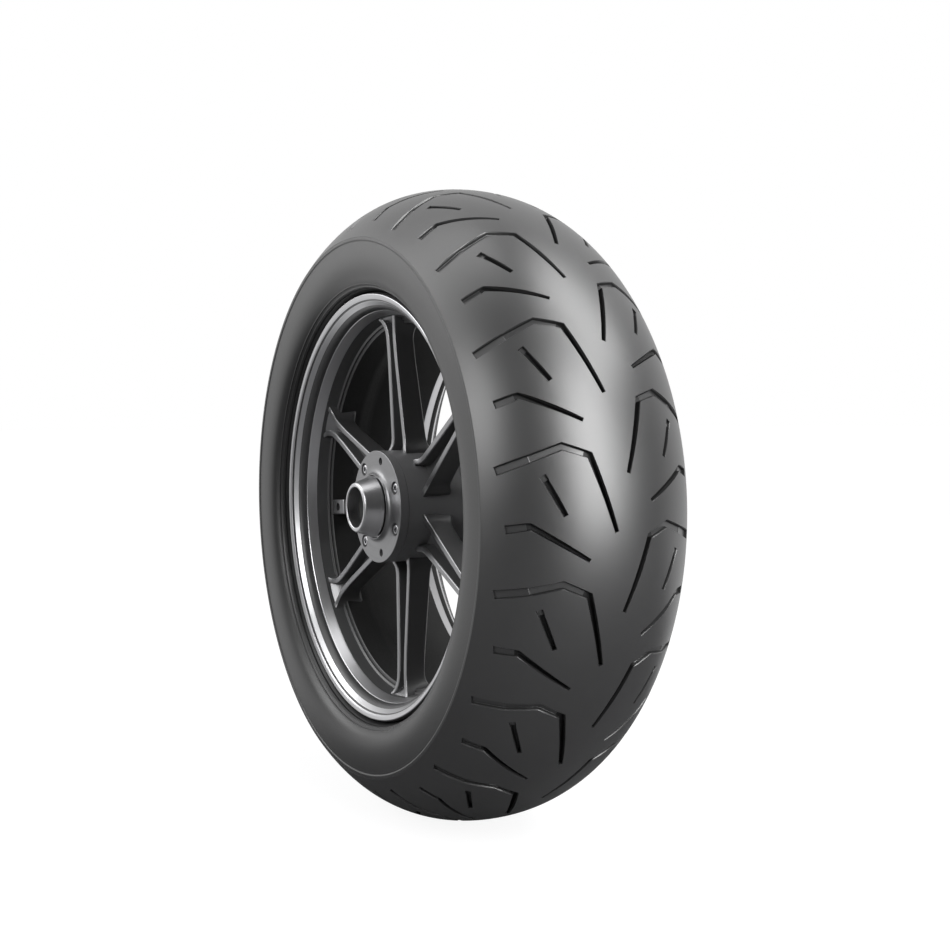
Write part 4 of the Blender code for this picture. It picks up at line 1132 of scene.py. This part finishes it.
class WHEEL_OT_end_plate(Operator):
    """Build the bolted end plate and its screws"""

    bl_idname = "wheel.end_plate"
    bl_label = "End plate"

    def angle(self, i):
        return PLATE_PHASE + TAU * i / PLATE_HOLES

    def execute(self, context):
        front, back = PLATE_LOW.y, PLATE_HIGH.y
        bore = NOSE_BASE_RADIUS + GAP
        section = [(front, bore, 0.0003), *PLATE_COVE, (front, PLATE_RADIUS, PLATE_ROUNDING),
                   (back, PLATE_RADIUS, 0.0003), (back, bore, 0.0003)]
        floor = front + COUNTERBORE_DEPTH
        over, under = front - CUTTER_OVERRUN, back + CUTTER_OVERRUN
        through = bmesh.new()
        sinks = bmesh.new()
        for i in range(PLATE_HOLES):
            bolted = i in PLATE_SCREWS
            hole = SCREW_RADIUS + GAP if bolted else PLAIN_HOLE_RADIUS
            bore_into(through, self.angle(i), PLATE_HOLE_CIRCLE, hole, over, under)
            if bolted:
                bore_into(sinks, self.angle(i), PLATE_HOLE_CIRCLE, COUNTERBORE_RADIUS, over, floor)
        shape = cut(cut(turned(section), through), sinks)
        soften(shape, PLATE_HOLE_EDGE)
        # Faces behind the plate's front take the hub's lighter paint, which carries painted light
        for face in shape.faces:
            face.material_index = int(face.calc_center_median().y > front + PLATE_ROUNDING)
        add_piece("end_plate_ring", shape, (plate_alloy(), hub_paint_with_painted_light()), "hub_end_plate")
        for number, i in enumerate(PLATE_SCREWS, 1):
            self.make_screw(number, self.angle(i), floor)
        return {"FINISHED"}

    def make_screw(self, number, angle, floor):
        under = floor - GAP
        top = under - SCREW_HEAD_HEIGHT
        tip = HUB_LOW.y + SCREW_REACH
        section = [(top, 0.0, 0.0), (top, SCREW_HEAD_RADIUS, 0.0011), (under, SCREW_HEAD_RADIUS, 0.0003),
                   (under, SCREW_RADIUS, 0.0003), (tip, SCREW_RADIUS, 0.0005), (tip, 0.0, 0.0)]
        socket = bmesh.new()
        bore_into(socket, 0.0, 0.0, SCREW_SOCKET_RADIUS, top - CUTTER_OVERRUN / 2,
                  top + SCREW_SOCKET_DEPTH, HEXAGON)
        shape = cut(turned(section, SMALL_STEPS, closed=False), socket)
        soften(shape, SCREW_EDGE)
        place(shape, about_axle(angle) @ Matrix.Translation((PLATE_HOLE_CIRCLE, 0.0, 0.0)))
        add_piece(f"plate_screw_{number}", shape, [zinc_steel()], f"end_plate_bolt_{number}")


def seal_section(start, outer):
    """Section of a dust seal whose face is at start, with a rolled lip round the axle."""
    end = start + SEAL_WIDTH
    lip = SEAL_LIP_RADIUS
    return [(start + SEAL_LIP_INSET, lip, 0.0002), (start + SEAL_ROLL[0], lip + SEAL_ROLL[1], 0.0003),
            (start + SEAL_VALLEY[0], lip + SEAL_VALLEY[1], 0.0003), (start, outer - SEAL_RIM, 0.0005),
            (start, outer, 0.0006), (end, outer, 0.0004), (end, lip + SEAL_LIP_SLOPE, 0.0002),
            (end - SEAL_LIP_INSET, lip, 0.0002)]


class WHEEL_OT_nose(Operator):
    """Build the conical nose that holds the open-side bearing, and its dust seal"""

    bl_idname = "wheel.nose"
    bl_label = "Nose"

    def execute(self, context):
        tip, end = NOSE_LOW.y, NOSE_HIGH.y
        front, back = PLATE_LOW.y, PLATE_HIGH.y
        cone_end = PLATE_COVE[0][0] - NOSE_NECK_WIDTH
        spigot = BEARING_BORE - GAP
        section = [(tip, NOSE_BORE_RADIUS, 0.0012), (tip, NOSE_TIP_RADIUS, 0.0020),
                   (cone_end, NOSE_CONE_RADIUS, 0.0004), (cone_end, NOSE_NECK_RADIUS, 0.0),
                   (front, NOSE_NECK_RADIUS, 0.0), (front, NOSE_BASE_RADIUS, 0.0),
                   (back, NOSE_BASE_RADIUS, 0.0003), (back, spigot, 0.0003), (end, spigot, 0.0004),
                   (end, NOSE_BORE_RADIUS, 0.0003)]
        add_piece("nose_cone", turned(section), [turned_alloy()], "bearing_retainer")
        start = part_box("dust_seal_open_side")[0].y
        seal = turned(seal_section(start, NOSE_BORE_RADIUS - GAP), SMALL_STEPS)
        add_piece("nose_seal", seal, [seal_rubber()], "dust_seal_open_side")
        return {"FINISHED"}


class WHEEL_OT_axle_stack(Operator):
    """Build the inner races and the sleeves that stand on the axle"""

    bl_idname = "wheel.axle_stack"
    bl_label = "Axle stack"

    def execute(self, context):
        for name in ("bearing_open_side_inner", "bearing_drive_side_inner", "carrier_bearing_inner"):
            start, end = (corner.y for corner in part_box(name))
            middle = (start + end) / 2
            half = RACE_GROOVE_HALF
            floor = RACE_RADIUS - RACE_GROOVE_DEPTH
            section = [(start, AXLE_RADIUS, 0.0006), (start, RACE_RADIUS, 0.0006),
                       (middle - half, RACE_RADIUS, 0.0), (middle - half / 2, floor, 0.0),
                       (middle + half / 2, floor, 0.0), (middle + half, RACE_RADIUS, 0.0),
                       (end, RACE_RADIUS, 0.0006), (end, AXLE_RADIUS, 0.0006)]
            add_piece(f"{name}_ring", turned(section, SMALL_STEPS), [bearing_steel()], name,
                      "axle_stack")
        for name in ("distance_tube", "carrier_spacer"):
            start, end = (corner.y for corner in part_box(name))
            bore = AXLE_RADIUS + GAP
            section = [(start, bore, 0.0003), (start, SLEEVE_RADIUS, 0.0006), (end, SLEEVE_RADIUS, 0.0006),
                       (end, bore, 0.0003)]
            add_piece(f"{name}_sleeve", turned(section, SMALL_STEPS), [zinc_steel()], name,
                      "axle_stack")
        return {"FINISHED"}


class WHEEL_OT_carrier(Operator):
    """Build the drive carrier with its threaded holes and vanes, and its dust seal"""

    bl_idname = "wheel.carrier"
    bl_label = "Drive carrier"

    def execute(self, context):
        start, end, disc = CARRIER_DISC_START, CARRIER_DISC_END, CARRIER_HIGH.x
        boss, boss_start, boss_end = CARRIER_BOSS_RADIUS, CARRIER_BOSS_START, CARRIER_HIGH.y
        recess = end - CARRIER_RECESS
        section = [(boss_start, BEARING_SHOULDER, 0.0003), (boss_start, boss, 0.0008), (start, boss, 0.0010),
                   (start, disc, 0.0006), (end, disc, 0.0010), (end, CARRIER_RING_RADIUS, 0.0006),
                   (recess, CARRIER_WEB_RADIUS, 0.0010), (recess, boss, 0.0030), (boss_end, boss, 0.0010),
                   (boss_end, BEARING_BORE, 0.0005), (CARRIER_SEAT_START, BEARING_BORE, 0.0),
                   (CARRIER_SEAT_START, BEARING_SHOULDER, 0.0)]
        holes = bmesh.new()
        vanes = bmesh.new()
        for i in range(CUSH_COUNT):
            angle = TAU * (i + 0.5) / CUSH_COUNT
            bore_into(holes, angle, CARRIER_HOLE_CIRCLE, CARRIER_HOLE_RADIUS, end - CARRIER_HOLE_DEPTH,
                      end + CUTTER_OVERRUN)
            block_into(vanes, angle, (CARRIER_VANE_INNER, CARRIER_VANE_OUTER),
                       (CARRIER_VANE_START, start + GAP), VANE_HALF)
        shape = cut(cut(turned(section), vanes, "UNION"), holes)
        soften(shape, CARRIER_EDGE)
        for face in shape.faces:
            centre = face.calc_center_median()
            radius = math.hypot(centre.x, centre.z)
            web = boss < radius < CARRIER_WEB_RADIUS and centre.y > start + GAP
            # The holes' walls and floors get the dark paint: painted shade inside the holes; the recessed web
            # is painted for real
            on_circle = abs(radius - CARRIER_HOLE_CIRCLE) < CARRIER_HOLE_RADIUS
            hole = on_circle and start + GAP < centre.y < end - GAP
            face.material_index = int(web or hole)
        add_piece("carrier_plate", shape, (turned_alloy(), satin_paint()), "drive_carrier",
                  "carrier")
        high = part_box("dust_seal_drive_side")[1]
        seal = turned(flipped(seal_section(-high.y, high.x)), SMALL_STEPS)
        add_piece("carrier_seal", seal, [seal_rubber()], "dust_seal_drive_side", "carrier")
        return {"FINISHED"}


class WHEEL_OT_dampers(Operator):
    """Build the cush drive's rubber blocks, one on each side of every carrier vane"""

    bl_idname = "wheel.dampers"
    bl_label = "Cush dampers"

    def angle(self, radius, share):
        """Angle from a cast vane, at a share of the way from its flat face to the carrier vane's."""
        lead = math.asin((VANE_HALF + GAP) / radius)
        return lead + (math.pi / CUSH_COUNT - 2 * lead) * share

    def point(self, radius, along, share, side, i):
        """A point beside carrier vane i, on one side of it."""
        angle = TAU * (i + 0.5) / CUSH_COUNT - side * (math.pi / CUSH_COUNT - self.angle(radius, share))
        return Vector((radius * math.cos(angle), along, radius * math.sin(angle)))

    def block(self, inner, outer, low, high, side, i):
        """A block swept through one radian, whose angle then counts as the share of the way."""
        shape = swept_block(inner, outer, low, high, 1.0, DAMPER_STEPS)
        for corner in shape.verts:
            share = math.atan2(corner.co.z, corner.co.x)
            corner.co = self.point(math.hypot(corner.co.x, corner.co.z), corner.co.y, share, side, i)
        face_outwards(shape)
        soften(shape, DAMPER_ROUNDING, SOFT_EDGE_STEPS)
        return shape

    def execute(self, context):
        inner = HUB_TUBE_RADIUS + 2 * GAP
        outer = HUB_HIGH.x - DRUM_WALL - 2 * GAP
        for i in range(CUSH_COUNT):
            node = f"cush_damper_{i + 1}"
            low, high = (corner.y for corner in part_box(node))
            for name, side in (("near", 1), ("far", -1)):
                shape = self.block(inner, outer, low, high, side, i)
                piece = new_piece(f"cush_block_{i + 1}_{name}", shape, [seal_rubber()], node)
                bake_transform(piece)
        return {"FINISHED"}


# Valve and balance weight


class WHEEL_OT_valve(Operator):
    """Build the valve stem with its thread, nut, grommet, pin and ribbed cap"""

    bl_idname = "wheel.valve"
    bl_label = "Valve"

    def stand(self, name, shape, finish, node, slot, body="wheel"):
        """Put a piece that was turned about the axle on the valve's own axis."""
        place(shape, about_axle(VALVE_ANGLE) @ Matrix.Translation((VALVE_AXIS_RADIUS, 0.0, 0.0)))
        add_piece(name, shape, [finish], node, body)

    def stem(self, start, end, thread_start):
        section = [(start, STEM_BORE, 0.0), (start, STEM_RADIUS, 0.0002), (thread_start, STEM_RADIUS, 0.0)]
        here = thread_start + THREAD_LEAD_IN
        for _ in range(int((end - THREAD_RUN_OUT - here) / THREAD_PITCH)):
            section.append((here, STEM_RADIUS - THREAD_DEPTH, 0.0))
            section.append((here + THREAD_PITCH / 2, STEM_RADIUS, 0.0))
            here += THREAD_PITCH
        section += [(end, STEM_RADIUS - THREAD_DEPTH, 0.0001), (end, STEM_BORE, 0.0)]
        return turned(section, STEM_STEPS)

    def grommet(self, start, end):
        flange = end - COLLAR_WIDTH
        section = [(start, GROMMET_BORE, 0.0), (start, GROMMET_RADIUS, 0.0003), (flange, GROMMET_RADIUS, 0.0),
                   (flange, COLLAR_RADIUS, 0.0004), (end, COLLAR_RADIUS, 0.0007), (end, GROMMET_BORE, 0.0003)]
        return turned(section, SMALL_STEPS)

    def nut(self, start, end):
        section = [(start, NUT_BORE, 0.0), (start, NUT_RADIUS, 0.0), (end, NUT_RADIUS, 0.0),
                   (end, NUT_BORE, 0.0)]
        shape = turned(section, HEXAGON)
        soften(shape, NUT_EDGE)
        return shape

    def pin(self, start, end):
        section = [(start, 0.0, 0.0), (start, PIN_RADIUS, 0.0002), (end, PIN_RADIUS, 0.0003), (end, 0.0, 0.0)]
        return turned(section, PIN_STEPS, closed=False)

    def cap(self, start, end, roof):
        low, high = start + CAP_RIB_START, end - CAP_RIB_END
        section = [(roof, 0.0, 0.0), (roof, CAP_BORE, 0.0002), (start, CAP_BORE, 0.0002),
                   (start, CAP_RADIUS, 0.0003), (start + CAP_HEM, CAP_RADIUS, 0.0), (low, CAP_WAIST, 0.0),
                   (high, CAP_WAIST, 0.0), (end - CAP_SHOULDER, CAP_RADIUS - CAP_SHOULDER_STEP, 0.0003),
                   (end, CAP_RADIUS - CAP_TOP_STEP, 0.0010), (end, 0.0, 0.0)]
        shape = turned(section, 2 * CAP_RIBS, closed=False)
        ribs = []
        for face in shape.faces:
            centre = face.calc_center_median()
            around = math.atan2(centre.z, centre.x) / TAU * 2 * CAP_RIBS
            outside = math.hypot(centre.x, centre.z) > CAP_WAIST * CAP_OUTSIDE
            if outside and low < centre.y < high and math.floor(around) % 2:
                ribs.append(face)
        made = bmesh.ops.inset_individual(shape, faces=ribs, thickness=CAP_RIB_INSET, depth=CAP_RIB_HEIGHT)
        if not made["faces"]:
            raise RuntimeError("the cap has no ribs")
        return shape

    def execute(self, context):
        nodes = ("valve_stem", "valve_grommet", "valve_nut", "valve_pin", "valve_cap")
        stem, grommet, nut, pin, cap = ([corner.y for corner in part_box(node)] for node in nodes)
        self.stand("valve_tube", self.stem(*stem, nut[0]), valve_brass(), "valve_stem", "brass")
        self.stand("valve_collar", self.grommet(*grommet), seal_rubber(), "valve_grommet", "soft_rubber")
        self.stand("valve_hexagon", self.nut(*nut), valve_brass(), "valve_nut", "brass")
        self.stand("valve_needle", self.pin(*pin), valve_brass(), "valve_pin", "brass", "valve_core")
        self.stand("valve_dust_cap", self.cap(*cap, stem[1] + GAP), cap_plastic(), "valve_cap", "cap_plastic",
                   "cap")
        return {"FINISHED"}


class WHEEL_OT_weight(Operator):
    """Build the balance weight: a row of steel blocks stuck inside the rim"""

    bl_idname = "wheel.weight"
    bl_label = "Balance weight"

    def execute(self, context):
        outer = WEIGHT_HIGH.x
        step = WEIGHT_SPAN / WEIGHT_BLOCKS
        shape = swept_block(outer - WEIGHT_THICKNESS, outer, WEIGHT_LOW.y, WEIGHT_HIGH.y,
                            step - WEIGHT_BLOCK_GAP, WEIGHT_BLOCK_STEPS)
        face_outwards(shape)
        soften(shape, WEIGHT_ROUNDING, SOFT_EDGE_STEPS)
        count = WEIGHT_BLOCKS - 1
        spin(shape, whole(shape), step * count, count, copies=True)
        place(shape, about_axle(WEIGHT_ANGLE - WEIGHT_SPAN / 2 + WEIGHT_BLOCK_GAP / 2))
        add_piece("weight_strip", shape, [weight_steel()], "balance_weight")
        return {"FINISHED"}


class WHEEL_OT_inner_layers(Operator):
    """Give the layers and bearing parts inside the wheel their finishes"""

    bl_idname = "wheel.inner_layers"
    bl_label = "Inner layers"

    def execute(self, context):
        sides = ("open_side", "drive_side")
        bearings = ("bearing_open_side", "bearing_drive_side", "carrier_bearing")
        dressed = {
            cord_rubber(): ["belt", "carcass"],
            sidewall_rubber(): [f"bead_filler_{side}" for side in sides],
            bead_wire(): [f"bead_core_{side}" for side in sides],
            bearing_steel(): [f"{name}_{part}" for name in bearings for part in ("outer", "balls")],
            zinc_steel(): ["carrier_circlip"],
        }
        for finish, names in dressed.items():
            for name in names:
                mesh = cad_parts[name].data
                mesh.materials.clear()
                mesh.materials.append(finish)
        return {"FINISHED"}


# Studio


class WHEEL_OT_studio(Operator):
    """Set up the floor, the room, the softboxes and the camera"""

    bl_idname = "wheel.studio"
    bl_label = "Studio"

    def camera_axes(self):
        """Directions to the right, up and back of the camera."""
        level = math.cos(CAMERA_ELEVATION)
        back = Vector((math.sin(CAMERA_AZIMUTH) * level, -math.cos(CAMERA_AZIMUTH) * level,
                       math.sin(CAMERA_ELEVATION)))
        right = Vector((-back.y, back.x, 0.0)).normalized()
        return right, back.cross(right), back

    def put(self, name, data, spot, back):
        """Add a lamp or a camera at a spot, looking away from back."""
        made = bpy.data.objects.new(name, data)
        made.location = spot
        made.rotation_mode = "QUATERNION"
        made.rotation_quaternion = back.to_track_quat("Z", "Y")
        bpy.context.scene.collection.objects.link(made)
        return made

    def make_softbox(self, name, direction, size, power):
        """A flat lamp that faces the wheel."""
        lamp = bpy.data.lights.new(name, "AREA")
        lamp.shape = "RECTANGLE"
        lamp.size, lamp.size_y = size
        lamp.energy = power
        right, up, back = self.camera_axes()
        towards = (right * direction[0] + up * direction[1] + back * direction[2]).normalized()
        self.put(name, lamp, towards * SOFTBOX_DISTANCE, towards)

    def make_camera(self):
        lens = bpy.data.cameras.new("camera")
        lens.lens, lens.sensor_width = CAMERA_LENS, CAMERA_SENSOR
        bpy.context.scene.camera = self.put("camera", lens, CAMERA_PLACE, self.camera_axes()[2])

    def background_seen(self, tree, start, end):
        """1 for rays that show the white background: from the camera, glass, and metal that faces it.

        Metal sees the backdrop behind the wheel, which fades in along the view from start to end.
        """
        path = tree.nodes.new("ShaderNodeLightPath")
        away = tree.nodes.new("ShaderNodeVectorMath")
        away.operation = "DOT_PRODUCT"
        away.inputs[1].default_value = -self.camera_axes()[2]
        tree.links.new(object_place(tree), away.inputs[0])
        fade = range_node(tree, away.outputs["Value"], start, end, curve="SMOOTHSTEP")
        reflected = math_node(tree, "MULTIPLY", path.outputs["Is Glossy Ray"], fade)
        seen = math_node(tree, "MAXIMUM", path.outputs["Is Camera Ray"], reflected)
        return math_node(tree, "MAXIMUM", seen, path.outputs["Is Transmission Ray"])

    def make_room(self, studio):
        room = bpy.data.worlds.new("studio room")
        bpy.context.scene.world = room
        room.use_nodes = True
        tree = room.node_tree
        light = tree.nodes["Background"]
        light.inputs["Color"].default_value = WHITE
        level = range_node(tree, self.background_seen(tree, *ROOM_BACKDROP), 0.0, 1.0, studio.room_light)
        tree.links.new(level, light.inputs["Strength"])

    def make_floor(self, studio):
        shape = bmesh.new()
        bmesh.ops.create_grid(shape, x_segments=1, y_segments=1, size=FLOOR_HALF_SIZE)
        bmesh.ops.translate(shape, verts=shape.verts, vec=(0.0, 0.0, CAD_BOX[0].z - FLOOR_GAP))
        floor = new_object("studio_floor", shape)
        paper = bpy.data.materials.new("pale floor")
        floor.data.materials.append(paper)
        paper.use_nodes = True
        tree = paper.node_tree
        shader = tree.nodes["Principled BSDF"]
        shader.inputs["Base Color"].default_value = (*studio.floor_colour, 1.0)
        shader.inputs["Roughness"].default_value = FLOOR_ROUGHNESS
        shader.inputs["Specular IOR Level"].default_value = 0.0
        shader.inputs["Emission Color"].default_value = WHITE
        reach = tree.nodes.new("ShaderNodeVectorMath")
        reach.operation = "LENGTH"
        tree.links.new(object_place(tree), reach.inputs[0])
        sweep = range_node(tree, reach.outputs["Value"], FLOOR_GLOW_NEAR, FLOOR_GLOW_FAR, FLOOR_GLOW)
        glow = math_node(tree, "MULTIPLY", sweep, self.background_seen(tree, *FLOOR_BACKDROP))
        tree.links.new(glow, shader.inputs["Emission Strength"])

    def execute(self, context):
        studio = settings().studio
        context.scene.view_settings.view_transform = "Standard"
        self.make_room(studio)
        self.make_floor(studio)
        for name, (direction, size) in SOFTBOXES.items():
            self.make_softbox(f"{name}_softbox", direction, size, getattr(studio, f"{name}_power"))
        self.make_camera()
        return {"FINISHED"}


class WHEEL_PT_panel(Panel):
    """Lists the wheel's settings and the steps that build it"""

    bl_idname = "WHEEL_PT_panel"
    bl_label = "Rear wheel"
    bl_space_type = "VIEW_3D"
    bl_region_type = "UI"
    bl_category = "Wheel"

    def draw(self, context):
        for group in (settings().tyre, settings().wheel, settings().studio):
            box = self.layout.box()
            for label in group.bl_rna.properties.keys():
                if label not in ("rna_type", "name"):
                    box.prop(group, label)
        for step in STEPS:
            self.layout.operator(step.bl_idname)


STEPS = (WHEEL_OT_studio, WHEEL_OT_tread, WHEEL_OT_sidewalls, WHEEL_OT_rim, WHEEL_OT_spokes, WHEEL_OT_hub,
         WHEEL_OT_end_plate, WHEEL_OT_nose, WHEEL_OT_axle_stack, WHEEL_OT_carrier, WHEEL_OT_dampers,
         WHEEL_OT_valve, WHEEL_OT_weight, WHEEL_OT_inner_layers)
CLASSES = (TyreSettings, WheelSettings, StudioSettings, RearWheelSettings, *STEPS, WHEEL_PT_panel)


def register():
    for item in CLASSES:
        bpy.utils.register_class(item)
    bpy.types.Scene.rear_wheel = PointerProperty(name="Rear wheel", description="Settings of the rear wheel",
                                                 type=RearWheelSettings)


def unregister():
    del bpy.types.Scene.rear_wheel
    for item in reversed(CLASSES):
        bpy.utils.unregister_class(item)


def main():
    register()
    bpy.ops.wheel.studio()
    bpy.ops.wheel.tread()
    bpy.ops.wheel.sidewalls()
    bpy.ops.wheel.rim()
    bpy.ops.wheel.spokes()
    bpy.ops.wheel.hub()
    bpy.ops.wheel.end_plate()
    bpy.ops.wheel.nose()
    bpy.ops.wheel.axle_stack()
    bpy.ops.wheel.carrier()
    bpy.ops.wheel.dampers()
    bpy.ops.wheel.valve()
    bpy.ops.wheel.weight()
    bpy.ops.wheel.inner_layers()


if __name__ == "__main__":
    main()
